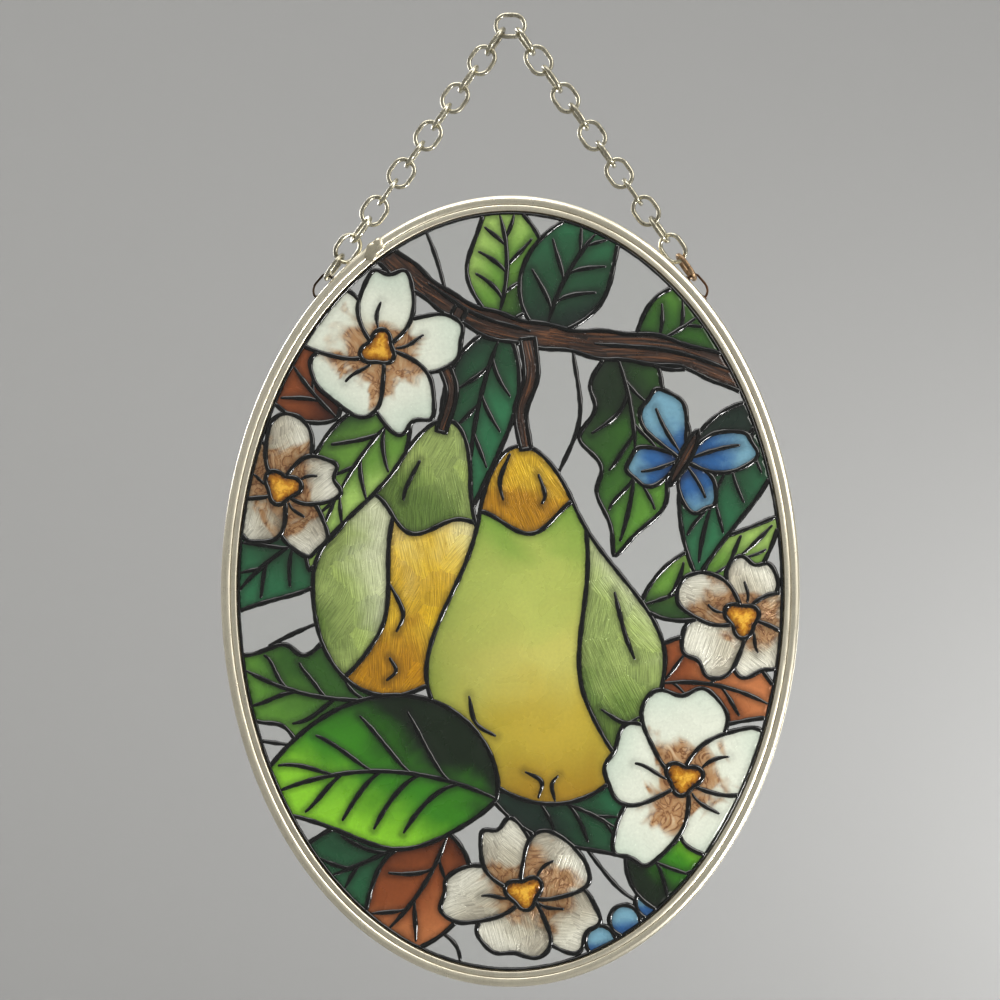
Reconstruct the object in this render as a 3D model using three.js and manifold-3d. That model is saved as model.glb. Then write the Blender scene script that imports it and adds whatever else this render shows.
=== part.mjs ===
// Oval stained-glass suncatcher that hangs on a chain: a clear pane with raised black line work
// in a metal came, two wire loops and twenty-seven oval links. Millimetres, +Z up, front faces -Y.
// The origin is the underside of the top bar of the middle link, where a hook bears.

import * as THREE from 'three';
import { mergeVertices } from 'three/addons/utils/BufferGeometryUtils.js';
import Module from 'manifold-3d';

const wasm = await Module();
wasm.setup();

// ---- driving dimensions ------------------------------------------------------------------

const FRAME_WIDE = 167.2;         // over the came
const FRAME_TALL = 228.6;
const CAME_WALL = 2.6;            // outer edge to the bottom of the slot
const CAME_FACE = 4.6;            // outer edge to the lip
const BEAD_FRONT = 2.7;           // half depth at the outer bead
const LIP_FRONT = 2.45;           // half depth at the inner bead
const SLOT_HALF = 1.8;
const RIM_STEPS = 48;

const PANE_THICK = 3.0;
const FIT = 0.3;                  // play between pieces that touch

const LINE_WIDE = 1.15;           // raised black lines
const LINE_HIGH = 0.6;
const LINE_SEAT = 0.1;            // between the pane and the lines
const RIM_LINE = 0.9;
const LINE_TRUE = 0.7;            // how far a faceted line may leave its curve

const WIRE = 0.675;               // radius of the link wire
const LINK_LONG = 9.7;
const LINK_WIDE = 7.6;
const LINKS_A_SIDE = 13;
const TWIST = 30;                 // roll that the came's edge gives the second link, in degrees

const LOOP_WIRE = 0.35;           // radius of the loop wire
const LOOP_LONG = 8.0;
const LOOP_OUT = 3.4;
const LOOP_CORNER = 1.5;
const LOOP_AT = 31.5;             // degrees from the top, about the centre of the oval

// ---- worked out from those ---------------------------------------------------------------

const A = FRAME_WIDE / 2;
const B = FRAME_TALL / 2;
const BEND = (LINK_WIDE - 2 * WIRE) / 2;
const STRAIGHT = LINK_LONG / 2 - BEND - WIRE;
const REACH = STRAIGHT + BEND;
const PITCH = LINK_LONG - 4 * WIRE - FIT;
const FIRST = BEND - 2 * WIRE - FIT + REACH;
const RUN = FIRST + PITCH * (LINKS_A_SIDE - 1) + REACH;
const MIDDLE_LINK_Z = -(BEND - WIRE);

const loopAngle = THREE.MathUtils.degToRad(LOOP_AT);
const loopRadius = 1 / Math.hypot(Math.sin(loopAngle) / A, Math.cos(loopAngle) / B);
const loopFoot = new THREE.Vector2(-loopRadius * Math.sin(loopAngle), loopRadius * Math.cos(loopAngle));
const loopNormal = new THREE.Vector2(loopFoot.x / A ** 2, loopFoot.y / B ** 2).normalize();
const loopTangent = new THREE.Vector2(loopNormal.y, -loopNormal.x);
const cornerAlong = LOOP_LONG / 2 - LOOP_WIRE - LOOP_CORNER;
const cornerOut = LOOP_OUT - LOOP_WIRE - LOOP_CORNER;
const snug = (LOOP_CORNER - WIRE - LOOP_WIRE - FIT) * Math.SQRT1_2;
const lastBar = loopFoot.clone()
  .addScaledVector(loopTangent, cornerAlong + snug)
  .addScaledVector(loopNormal, cornerOut + snug);

const runAngle = Math.acos((-lastBar.x - STRAIGHT) / RUN);
const CENTRE_Z = MIDDLE_LINK_Z - RUN * Math.sin(runAngle) - lastBar.y;

// ---- solids ------------------------------------------------------------------------------

function toSolid(geometry) {
  const bare = geometry.clone();
  bare.deleteAttribute('normal');
  bare.deleteAttribute('uv');
  const merged = mergeVertices(bare, 1e-4);
  return new wasm.Manifold(new wasm.Mesh({
    numProp: 3,
    vertProperties: new Float32Array(merged.attributes.position.array),
    triVerts: new Uint32Array(merged.index.array),
  }));
}

function toGeometry(solid) {
  const mesh = solid.getMesh();
  const geometry = new THREE.BufferGeometry();
  geometry.setAttribute('position', new THREE.BufferAttribute(mesh.vertProperties, 3));
  geometry.setIndex(new THREE.BufferAttribute(mesh.triVerts, 1));
  return geometry;
}

function join(solids) {
  return solids.reduce((sum, solid) => sum.add(solid));
}

// A section carried along a path: row i of the path, corner j of the section. The path closes on
// itself, or the body ends in two flat faces.
function sweep(rows, corners, pointAt, closed = true) {
  const points = [];
  const faces = [];
  for (let i = 0; i < rows; i += 1) {
    for (let j = 0; j < corners; j += 1) {
      points.push(...pointAt(i, j).toArray());
      const next = ((i + 1) % rows) * corners;
      const up = (j + 1) % corners;
      if (closed || i < rows - 1) {
        faces.push(i * corners + j, next + j, next + up, i * corners + j, next + up, i * corners + up);
      }
    }
  }
  for (let j = 1; !closed && j < corners - 1; j += 1) {
    const end = (rows - 1) * corners;
    faces.push(0, j, j + 1, end, end + j + 1, end + j);
  }
  const geometry = new THREE.BufferGeometry();
  geometry.setAttribute('position', new THREE.Float32BufferAttribute(points, 3));
  geometry.setIndex(faces);
  return geometry;
}

// A flat outline in X and Z, from y = back towards the front.
function plate(shape, back, thick) {
  const geometry = new THREE.ExtrudeGeometry(shape, { depth: thick, bevelEnabled: false, curveSegments: 1 });
  geometry.rotateX(Math.PI / 2);
  return geometry.translate(0, back, 0);
}

// ---- the oval ----------------------------------------------------------------------------

// A point of the oval, moved inward along its normal.
function rimPoint(step, inward) {
  const t = (step / RIM_STEPS) * 2 * Math.PI;
  const normal = new THREE.Vector2(Math.cos(t) / A, Math.sin(t) / B).normalize();
  return new THREE.Vector2(A * Math.cos(t), B * Math.sin(t)).addScaledVector(normal, -inward);
}

function rimLoop(inward) {
  return Array.from({ length: RIM_STEPS }, (_, step) => rimPoint(step, inward));
}

// The came's section: inward from the outer edge, and depth, front negative. A wide outer bead,
// a fine groove and a narrower inner bead stand on the front; the back flange is plain.
const CAME_SECTION = [
  [0, -1.5],
  [0.6, -2.45],
  [1.5, -BEAD_FRONT],
  [2.45, -2.3],
  [2.75, -1.95],
  [3.0, -2.25],
  [3.8, -LIP_FRONT],
  [CAME_FACE, -2.1],
  [CAME_FACE, -SLOT_HALF],
  [CAME_WALL, -SLOT_HALF],
  [CAME_WALL, SLOT_HALF],
  [CAME_FACE, SLOT_HALF],
  [CAME_FACE, 2.2],
  [0.8, LIP_FRONT],
  [0, 1.5],
];

// The came is bent from one length of strip, and its ends are closed by a lump of solder.
const SOLDER = { turn: 119.0, inward: 1.9, half: [3.0, 1.0, 2.0] };

function makeFrame() {
  const came = sweep(RIM_STEPS, CAME_SECTION.length, (i, j) => {
    const [inward, depth] = CAME_SECTION[j];
    const point = rimPoint(i, inward);
    return new THREE.Vector3(point.x, depth, point.y);
  });
  const point = rimPoint((SOLDER.turn / 360) * RIM_STEPS, SOLDER.inward);
  const lump = new THREE.SphereGeometry(1, 8, 5);
  lump.scale(...SOLDER.half);
  lump.rotateY(-Math.atan2(point.y / B, point.x / A) - Math.PI / 2);
  lump.translate(point.x, -BEAD_FRONT + 0.35, point.y);
  return toGeometry(join([toSolid(came), toSolid(lump)]));
}

function makePane() {
  const edge = new THREE.Shape(rimLoop(CAME_WALL + FIT));
  return plate(edge, PANE_THICK / 2, PANE_THICK);
}

// ---- drawing: pears and blossom on a branch ------------------------------------------------
// Every outline is a list of points about the centre of the oval, X right and Y up.

function steps(count, last = 1) {
  return Array.from({ length: count }, (_, k) => (k / (count - 1)) * last);
}

function turns(count) {
  return Array.from({ length: count }, (_, k) => (k / count) * 2 * Math.PI);
}

function smooth(from, to, value) {
  const s = Math.min(Math.max((value - from) / (to - from), 0), 1);
  return s * s * (3 - 2 * s);
}

// From along and across a motif's own axis to the pane; the turn is in degrees from +X.
function place(along, across, [x, y], turn) {
  const angle = THREE.MathUtils.degToRad(turn);
  return new THREE.Vector2(along, across).rotateAround(new THREE.Vector2(), angle).add(new THREE.Vector2(x, y));
}

// An ellipse whose upper part narrows to a neck.
function pear(centre, width, height, turn) {
  return turns(80).map((t) => {
    const up = (1 - Math.cos(t)) / 2;
    const across = (width / 2) * Math.sin(t) * (1 - 0.5 * smooth(0.34, 0.82, up));
    return place(height * (up - 0.4), across, centre, turn);
  });
}

// A drop from the centre outwards: narrow foot, wavy margin, and a notch at the tip.
function petal(centre, turn, reach, width, { foot = 0.3, notch = 0, phase = 0, inner = 0 } = {}) {
  return turns(64).map((t) => {
    const s = (1 - Math.cos(t)) / 2;
    const across = (width / 2) * Math.sin(t) * (1 - foot * (1 - s) ** 2) * (1 + 0.09 * Math.sin(3 * t + phase));
    const dip = notch * Math.exp(-((across / (0.22 * width)) ** 2)) * s ** 6;
    const along = inner + (reach - inner) * s - dip + 0.035 * reach * Math.sin(5 * t + 2 * phase) * s ** 3;
    return place(along, across, centre, turn);
  });
}

// A small round with three soft lobes.
function heart(centre, radius, turn) {
  return turns(36).map((t) => {
    const r = radius * (1 + 0.2 * Math.cos(3 * t) + 0.08 * Math.cos(2 * t + 1));
    return place(r * Math.cos(t), r * Math.sin(t), centre, turn);
  });
}

// An oval patch whose near side is scalloped.
function scallop(centre, reach, wide, turn, waves, depth) {
  return turns(90).map((t) => {
    const wave = Math.cos(t) < 0 ? depth * Math.cos(waves * t) : 0;
    return place(reach * Math.cos(t) + wave, wide * Math.sin(t), centre, turn);
  });
}

function disc(centre, radius) {
  return turns(24).map((t) => place(radius * Math.cos(t), radius * Math.sin(t), centre, 0));
}

// A chord from base to tip that bows to its left: the point and the left normal at t.
function spineAt(base, tip, bow, t) {
  const from = new THREE.Vector2(...base);
  const chord = new THREE.Vector2(...tip).sub(from);
  const left = new THREE.Vector2(-chord.y, chord.x).normalize();
  const point = from.clone().addScaledVector(chord, t).addScaledVector(left, bow * 4 * t * (1 - t));
  const way = chord.clone().addScaledVector(left, bow * 4 * (1 - 2 * t)).normalize();
  return { point, normal: new THREE.Vector2(-way.y, way.x) };
}

function leafHalf(t, { width, lobes = 0, depth = 0 }) {
  const blade = (width / 2) * Math.max(Math.sin(Math.PI * t ** 0.8), 0) ** 0.85 * (1.08 - 0.28 * t);
  return blade * (1 + depth * Math.cos(2 * Math.PI * lobes * (t - 0.08)));
}

function leaf(form) {
  const margin = (t, side) => {
    const { point, normal } = spineAt(form.base, form.tip, form.bow, t);
    return point.addScaledVector(normal, side * leafHalf(t, form));
  };
  const stations = steps(41).map((s) => (1 - Math.cos(Math.PI * s)) / 2);
  return [
    ...stations.map((t) => margin(t, 1)),
    ...stations.slice(1, -1).reverse().map((t) => margin(t, -1)),
  ];
}

// The midrib, which stops short of the tip.
function midrib(form) {
  return steps(25, 0.93).map((t) => spineAt(form.base, form.tip, form.bow, t).point);
}

function curve(points, per = 8) {
  const route = new THREE.SplineCurve(points.map(([x, y]) => new THREE.Vector2(x, y)));
  return route.getPoints((points.length - 1) * per);
}

// A tapered band along a curve.
function band(points, startWide, endWide, knots = 0) {
  const route = new THREE.SplineCurve(points.map(([x, y]) => new THREE.Vector2(x, y)));
  const edge = (u, side) => {
    const way = route.getTangent(u);
    const half = ((startWide + (endWide - startWide) * u) / 2) * (1 + knots * Math.sin(17 * u + 1) * Math.sin(41 * u));
    return route.getPoint(u).addScaledVector(new THREE.Vector2(-way.y, way.x), side * half);
  };
  const along = steps((points.length - 1) * 8 + 1);
  return [...along.map((u) => edge(u, 1)), ...along.reverse().map((u) => edge(u, -1))];
}

// ---- the composition, front to back --------------------------------------------------------

const cells = [];

// An outline, with a midrib or none, and the outline that it is kept within, if any.
function addCell(outline, rib = null, within = null) {
  cells.push({ outline, rib, within });
}

// Broad petals round a small golden heart; the first petal lies on top of the others.
function addBlossom(centre, reach, turn) {
  addCell(heart(centre, 4.6, turn));
  for (let k = 0; k < 5; k += 1) {
    const long = reach * (1 + 0.13 * Math.cos(2.3 * k + turn));
    const wide = reach * (0.86 + 0.14 * Math.sin(1.7 * k + turn));
    const form = { foot: 0.45, notch: 0.1 * reach, phase: 1.9 * k + turn };
    addCell(petal(centre, turn + 72 * k, long, wide, form));
  }
}

function addLeaf(base, tip, width, bow, lobes = 0, depth = 0) {
  const form = { base, tip, width, bow, lobes, depth };
  addCell(leaf(form), midrib(form));
}

// A body and four wings.
function addButterfly(centre, size, turn) {
  addCell(petal(centre, turn, size * 0.55, size * 0.2, { foot: 0.2, inner: -size * 0.5 }));
  for (const [angle, long, wide] of [[52, 1.25, 0.85], [-52, 1.25, 0.85], [128, 0.95, 0.75], [-128, 0.95, 0.75]]) {
    addCell(petal(centre, turn + angle, size * long, size * wide, { foot: 0.75, phase: angle }));
  }
}

const frontPear = pear([10, -20], 72, 104, 97);
const backPear = pear([-31, 2], 54, 82, 74);

addCell(band([[4.5, 41], [3, 52], [6, 62], [5, 73]], 3.0, 4.4));
addBlossom([50, -54], 27, 18);
addBlossom([-38, 70], 25, 80);
addButterfly([50, 38], 17, 62);
addBlossom([4, -87], 23, 40);
addLeaf([-4, -60], [-76, -62], 46, -9);
addCell(scallop([2.5, 46], 27, 30, 97, 7, 2.6), null, frontPear);
addCell(pear([39, -22], 40, 92, 104), null, frontPear);
addCell(frontPear);
addCell(band([[-20, 46], [-17, 58], [-20, 70], [-14, 82]], 2.8, 3.6));
addCell(scallop([-21, 44], 26, 26, 74, 7, 2.4), null, backPear);
addCell(pear([-50, -4], 30, 66, 68), null, backPear);
addCell(backPear);
addCell(band([[84, 54], [50, 68], [20, 72], [-8, 78], [-30, 92], [-50, 110]], 8.4, 5.4, 0.2));
addBlossom([-66, 30], 20, 10);
addBlossom([67, -8], 20, 150);
addLeaf([10, 74], [34, 112], 26, 4);
addLeaf([-4, 78], [-6, 116], 24, -4);
addLeaf([36, 70], [66, 94], 24, -4);
addLeaf([30, 70], [30, 10], 28, 6, 3, 0.18);
addLeaf([76, 54], [54, 4], 25, -5);
addLeaf([38, -4], [78, 22], 20, -4);
addLeaf([-2, 76], [-12, 22], 22, -3);
addLeaf([-30, 54], [-58, 6], 24, -4);
addLeaf([-30, -30], [-84, -18], 32, 6, 3, 0.2);
addLeaf([-46, 20], [-84, -8], 28, -5);
addLeaf([34, -74], [72, -84], 26, -3);
addLeaf([36, -28], [80, -36], 28, 5);
addLeaf([-18, -70], [-46, -106], 28, 4);
addLeaf([-50, 50], [-72, 86], 22, 3);
addLeaf([-26, -70], [-78, -88], 26, 3);
addLeaf([-6, -58], [44, -80], 24, 6);
for (const centre of [[33, -95], [40.5, -90], [26, -101]]) {
  addCell(disc(centre, 4.4));
}

// Single lines that divide the clear ground.
const GROUND_LINES = [
  [[66, 86], [58, 96], [54, 112]],
  [[-18, 84], [-22, 98], [-28, 112]],
  [[50, 8], [66, 34], [84, 40]],
  [[-48, -6], [-62, -12], [-70, -16]],
  [[-40, -34], [-58, -44], [-80, -42]],
  [[18, 70], [20, 50], [13, 32]],
  [[20, -72], [34, -88], [52, -94]],
  [[-28, -94], [-16, -102], [-14, -114]],
].map((points) => curve(points));

// ---- raised lines --------------------------------------------------------------------------

function isInside({ x, y }, polygon) {
  let odd = false;
  for (let i = 0, j = polygon.length - 1; i < polygon.length; j = i, i += 1) {
    const a = polygon[i];
    const b = polygon[j];
    if ((a.y > y) !== (b.y > y) && x < ((b.x - a.x) * (y - a.y)) / (b.y - a.y) + a.x) {
      odd = !odd;
    }
  }
  return odd;
}

const opening = rimLoop(CAME_FACE + FIT + RIM_LINE / 2);

// A patch kept within an outline doesn't cover that outline.
function isHidden(point, depth, { outline, within }) {
  if (!isInside(point, opening) || (within && !isInside(point, within))) {
    return true;
  }
  return cells.slice(0, depth).some((cell) => (
    cell.within !== outline
    && isInside(point, cell.outline)
    && (!cell.within || isInside(point, cell.within))
  ));
}

// The last visible point on the way from a visible to a hidden one.
function edgeBetween(seen, unseen, hidden) {
  let near = seen.clone();
  let far = unseen.clone();
  for (let k = 0; k < 14; k += 1) {
    const mid = near.clone().lerp(far, 0.5);
    if (hidden(mid)) {
      far = mid;
    } else {
      near = mid;
    }
  }
  return near;
}

// The stretches of a line that nothing in front covers. Each starts and ends on what covers it.
function visibleRuns(line, closed, hidden) {
  const points = closed ? [...line, line[0]] : line;
  const states = points.map(hidden);
  const runs = [];
  let run = [];
  points.forEach((point, k) => {
    if (k > 0 && states[k] !== states[k - 1]) {
      const edge = states[k] ? edgeBetween(points[k - 1], point, hidden) : edgeBetween(point, points[k - 1], hidden);
      run.push(edge);
    }
    if (!states[k]) {
      run.push(point);
    } else if (run.length) {
      runs.push(run);
      run = [];
    }
  });
  if (run.length) {
    runs.push(run);
  }
  if (closed && runs.length > 1 && !states[0]) {
    runs[0] = [...runs.pop(), ...runs[0].slice(1)];
  }
  return runs;
}

// Drops the points that lie within LINE_TRUE of the chord that replaces them.
function thin(points) {
  const first = points[0];
  const last = points[points.length - 1];
  const chord = last.clone().sub(first);
  const long = chord.length();
  let worst = 0;
  let at = 0;
  points.forEach((point, k) => {
    const off = point.clone().sub(first);
    const away = long > 1e-6 ? Math.abs(off.cross(chord)) / long : off.length();
    if (away > worst) {
      worst = away;
      at = k;
    }
  });
  if (worst <= LINE_TRUE || points.length < 3) {
    return [first, last];
  }
  return [...thin(points.slice(0, at + 1)), ...thin(points.slice(at)).slice(1)];
}

function sidePoint(points, k, side, closed) {
  const count = points.length;
  const before = points[closed ? (k - 1 + count) % count : Math.max(k - 1, 0)];
  const after = points[closed ? (k + 1) % count : Math.min(k + 1, count - 1)];
  const into = (before === points[k] ? after.clone().sub(points[k]) : points[k].clone().sub(before)).normalize();
  const out = (after === points[k] ? into.clone() : after.clone().sub(points[k])).normalize();
  const normal = new THREE.Vector2(-into.y - out.y, into.x + out.x).normalize();
  const mitre = 1 / Math.max(normal.dot(new THREE.Vector2(-into.y, into.x)), 0.7);
  return points[k].clone().addScaledVector(normal, side * (LINE_WIDE / 2) * mitre);
}

// A flat black bar of rectangular section along the points.
function lineBar(points, closed) {
  const back = -PANE_THICK / 2 - LINE_SEAT;
  const corners = [[-1, 0], [-1, 1], [1, 1], [1, 0]];
  return sweep(points.length, corners.length, (i, j) => {
    const [side, front] = corners[j];
    const point = sidePoint(points, i, side, closed);
    return new THREE.Vector3(point.x, back - front * LINE_HIGH, point.y);
  }, closed);
}

function length(points) {
  return points.slice(1).reduce((sum, point, k) => sum + point.distanceTo(points[k]), 0);
}

function makeOutline() {
  const bars = [];
  const draw = (line, closed, depth, cell) => {
    const hidden = (point) => isHidden(point, depth, cell);
    for (const run of visibleRuns(line, closed, hidden)) {
      const whole = closed && run.length === line.length + 1;
      const half = Math.floor(run.length / 2);
      const kept = whole ? [...thin(run.slice(0, half + 1)), ...thin(run.slice(half)).slice(1, -1)] : thin(run);
      if (length(kept) > LINE_WIDE) {
        bars.push(toSolid(lineBar(kept, whole)));
      }
    }
  };
  cells.forEach((cell, depth) => {
    draw(cell.outline, true, depth, cell);
    if (cell.rib) {
      draw(cell.rib, false, depth, { outline: cell.rib, within: cell.outline });
    }
  });
  GROUND_LINES.forEach((line) => draw(line, false, cells.length, { outline: line, within: null }));
  const rim = sweep(RIM_STEPS, 4, (i, j) => {
    const point = rimPoint(i, CAME_FACE + FIT + (j < 2 ? 0 : RIM_LINE));
    const front = j === 1 || j === 2 ? LINE_HIGH : 0;
    return new THREE.Vector3(point.x, -PANE_THICK / 2 - LINE_SEAT - front, point.y);
  });
  return toGeometry(join([toSolid(rim), ...bars]));
}

// ---- wire loops and chain --------------------------------------------------------------------

// A D of thin wire on the came's outer edge, in the plane of the pane.
function makeLoop() {
  const half = LOOP_LONG / 2 - LOOP_WIRE;
  const out = LOOP_OUT - LOOP_WIRE;
  const at = (along, away) => {
    const point = loopFoot.clone().addScaledVector(loopTangent, along).addScaledVector(loopNormal, away);
    return new THREE.Vector3(point.x, 0, point.y);
  };
  const path = new THREE.CurvePath();
  const low = half - LOOP_CORNER;
  path.add(new THREE.LineCurve3(at(-half, FIT), at(-half, out - LOOP_CORNER)));
  path.add(new THREE.QuadraticBezierCurve3(at(-half, out - LOOP_CORNER), at(-half, out), at(-low, out)));
  path.add(new THREE.LineCurve3(at(-low, out), at(low, out)));
  path.add(new THREE.QuadraticBezierCurve3(at(low, out), at(half, out), at(half, out - LOOP_CORNER)));
  path.add(new THREE.LineCurve3(at(half, out - LOOP_CORNER), at(half, FIT)));
  const section = new THREE.Shape(turns(5).map((t) => (
    new THREE.Vector2(LOOP_WIRE * Math.cos(t), LOOP_WIRE * Math.sin(t))
  )));
  return new THREE.ExtrudeGeometry(section, { steps: 12, extrudePath: path, bevelEnabled: false });
}

// An oval link along X in the XZ plane: two straight sides and two half turns.
const BEND_STEPS = 4;
const WIRE_SIDES = 4;

function makeLink() {
  const rows = 2 * (BEND_STEPS + 1);
  return sweep(rows, WIRE_SIDES, (i, j) => {
    const right = i <= BEND_STEPS;
    const turn = -Math.PI / 2 + (right ? i : i - 1) * (Math.PI / BEND_STEPS);
    const round = -(j / WIRE_SIDES) * 2 * Math.PI;
    const from = BEND + WIRE * Math.cos(round);
    const x = (right ? STRAIGHT : -STRAIGHT) + from * Math.cos(turn);
    return new THREE.Vector3(x, WIRE * Math.sin(round), from * Math.sin(turn));
  });
}

// ---- finishes and assembly -------------------------------------------------------------------

const nickel = { color: 0xb9b19c, roughness: 0.28, metalness: 1 };
const oldNickel = { color: 0xa79d88, roughness: 0.36, metalness: 1 };
const darkWire = { color: 0x4b3a2c, roughness: 0.5, metalness: 1 };
const clearGlass = { color: 0xf2f6f2, roughness: 0.02, metalness: 0, transparent: true, opacity: 0.25 };
const blackLine = { color: 0x0c0c0c, roughness: 0.12, metalness: 0 };

function piece(name, geometry, finish) {
  const mesh = new THREE.Mesh(geometry, new THREE.MeshStandardMaterial(finish));
  mesh.name = name;
  return mesh;
}

const suncatcher = new THREE.Group();

const panel = new THREE.Group();
panel.position.z = CENTRE_Z;
panel.add(piece('frame', makeFrame(), nickel));
panel.add(piece('glass_pane', makePane(), clearGlass));
panel.add(piece('raised_outline', makeOutline(), blackLine));
panel.add(piece('wire_loop_left', makeLoop(), darkWire));
const rightLoop = piece('wire_loop_right', makeLoop(), darkWire);
rightLoop.rotation.z = Math.PI;
panel.add(rightLoop);
suncatcher.add(panel);

// The second link leans on the came's edge and rolls a little, and its roll fades up the chain.
function roll(fromLoop) {
  return fromLoop > 1 ? THREE.MathUtils.degToRad(TWIST) * Math.exp((2 - fromLoop) / 3) : 0;
}

// Links are numbered from the left loop over the hook to the right loop. Neighbours lie about a
// quarter turn apart about the line of the chain, and the middle one lies level.
const MIDDLE = LINKS_A_SIDE + 1;
for (let number = 1; number <= 2 * LINKS_A_SIDE + 1; number += 1) {
  const away = Math.abs(number - MIDDLE);
  const side = Math.sign(number - MIDDLE);
  const along = away ? FIRST + PITCH * (away - 1) : 0;
  const link = piece(`chain_link_${String(number).padStart(2, '0')}`, makeLink(), oldNickel);
  const hung = new THREE.Group();
  hung.position.set(side * (STRAIGHT + along * Math.cos(runAngle)), 0, MIDDLE_LINK_Z - along * Math.sin(runAngle));
  hung.rotation.y = side * runAngle;
  const fromLoop = MIDDLE - away;
  link.rotation.x = (away % 2 === 1 ? Math.PI / 2 : 0) + (away ? roll(fromLoop) : 0);
  hung.add(link);
  suncatcher.add(hung);
}

export default suncatcher;
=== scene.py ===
"""Oval stained-glass suncatcher: pears and blossom painted on a clear pane, inside a beaded metal came,
hung on an oval-link chain. Lengths in the sections are millimetres; meshes are made in metres."""

import bmesh
import bpy
import numpy as np
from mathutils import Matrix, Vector
from mathutils.geometry import delaunay_2d_cdt


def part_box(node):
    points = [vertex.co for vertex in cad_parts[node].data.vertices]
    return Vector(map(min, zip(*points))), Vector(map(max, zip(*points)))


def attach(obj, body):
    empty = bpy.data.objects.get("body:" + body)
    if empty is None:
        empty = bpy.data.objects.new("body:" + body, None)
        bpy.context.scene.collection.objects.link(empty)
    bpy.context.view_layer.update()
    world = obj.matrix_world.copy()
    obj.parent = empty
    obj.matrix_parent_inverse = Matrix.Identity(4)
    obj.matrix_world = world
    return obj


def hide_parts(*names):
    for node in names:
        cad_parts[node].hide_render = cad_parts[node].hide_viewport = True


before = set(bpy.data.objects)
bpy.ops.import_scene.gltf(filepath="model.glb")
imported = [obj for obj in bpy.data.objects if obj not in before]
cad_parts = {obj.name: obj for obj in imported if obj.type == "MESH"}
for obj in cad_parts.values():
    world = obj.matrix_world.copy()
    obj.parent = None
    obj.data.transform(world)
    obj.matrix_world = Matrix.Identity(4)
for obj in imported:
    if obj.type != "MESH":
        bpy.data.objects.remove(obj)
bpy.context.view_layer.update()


# ---- Viewpoint ----
# The panel is seen square on, a little to the left of its middle, with the whole chain in view.

MM = 0.001
FIELD = 290.0
VIEW_TOP = 5.0
VIEW_X = -3.0
LENS, SENSOR = 50.0, 36.0

camera = bpy.data.objects.new("camera", bpy.data.cameras.new("camera"))
camera.data.lens = LENS
camera.data.sensor_width = SENSOR
camera.location = Vector((VIEW_X, -FIELD * LENS / SENSOR, VIEW_TOP - FIELD / 2)) * MM
camera.rotation_euler = (np.pi / 2, 0, 0)
bpy.context.scene.collection.objects.link(camera)
bpy.context.scene.camera = camera
bpy.context.scene.view_settings.view_transform = "Standard"


# ---- Studio ----
# A plain grey cove, floor, round turn and wall in one sheet all the way round, so that the panel can be
# seen from any side. Broad soft lamps stand at the upper right and above, with a small one low on the
# right, one that washes the wall and one that lights the back.

def node(tree, kind, inputs=None, **settings):
    """A shader node with its settings made and its inputs linked to sockets or set to values."""
    made = tree.nodes.new(kind)
    for key, value in settings.items():
        setattr(made, key, value)
    for key, value in (inputs or {}).items():
        if isinstance(value, bpy.types.NodeSocket):
            tree.links.new(value, made.inputs[key])
        else:
            made.inputs[key].default_value = value
    return made


def rgb(red, green, blue):
    """Linear colour with alpha from display values of 0 to 255."""
    value = np.array([red, green, blue]) / 255
    return (*np.where(value < 0.04045, value / 12.92, ((value + 0.055) / 1.055) ** 2.4), 1.0)


def new_material(name, **plain):
    """A material with one Principled shader; plain holds constants for the shader's own sockets."""
    material = bpy.data.materials.new(name)
    material.use_nodes = True
    shader = material.node_tree.nodes["Principled BSDF"]
    for key, value in plain.items():
        shader.inputs[key.replace("_", " ")].default_value = value
    return material, material.node_tree, shader


def grid_faces(rows, columns, rows_close=False, columns_close=False):
    """Quads of a grid of points kept row by row; each way round may close on itself."""
    i = np.arange(rows if rows_close else rows - 1)[:, None]
    j = np.arange(columns if columns_close else columns - 1)[None, :]
    below, beside = (i + 1) % rows * columns, (j + 1) % columns
    corners = [i * columns + j, below + j, below + beside, i * columns + beside]
    return np.stack(np.broadcast_arrays(*corners), -1).reshape(-1, 4)


def new_piece(name, points, faces, material, **attributes):
    """A smooth mesh piece from points in millimetres, faces of any size and values per point."""
    mesh = bpy.data.meshes.new(name)
    mesh.from_pydata((np.asarray(points) * MM).tolist(), [], faces)
    for key, values in attributes.items():
        layer = mesh.attributes.new(key, "FLOAT", "POINT")
        layer.data.foreach_set("value", np.asarray(values, np.float32).ravel())
    shell = bmesh.new()
    shell.from_mesh(mesh)
    bmesh.ops.recalc_face_normals(shell, faces=shell.faces)
    shell.to_mesh(mesh)
    shell.free()
    mesh.polygons.foreach_set("use_smooth", np.ones(len(mesh.polygons), bool))
    mesh.materials.append(material)
    mesh.update()
    made = bpy.data.objects.new(name, mesh)
    bpy.context.scene.collection.objects.link(made)
    return made


COVE_FLOOR, COVE_RADIUS, COVE_TURN, COVE_TOP = -950.0, 1000.0, 300.0, 1100.0

cove_material = new_material("studio_cove", Base_Color=rgb(160, 160, 159), Roughness=0.8)[0]
bend = np.linspace(0, np.pi / 2, 13)
cove_radius = np.r_[1.0, COVE_RADIUS / 2, COVE_RADIUS - COVE_TURN * (1 - np.sin(bend)), COVE_RADIUS]
cove_height = COVE_FLOOR + np.r_[0.0, 0.0, COVE_TURN * (1 - np.cos(bend)), COVE_TOP - COVE_FLOOR]
way = np.linspace(0, 2 * np.pi, 96, endpoint=False)[:, None]
cove_points = np.stack([cove_radius * np.cos(way), cove_radius * np.sin(way),
                        np.broadcast_to(cove_height, (len(way), len(cove_height)))], -1).reshape(-1, 3)
cove = new_piece("cove", cove_points, grid_faces(len(way), len(cove_radius), True).tolist(), cove_material)


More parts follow.
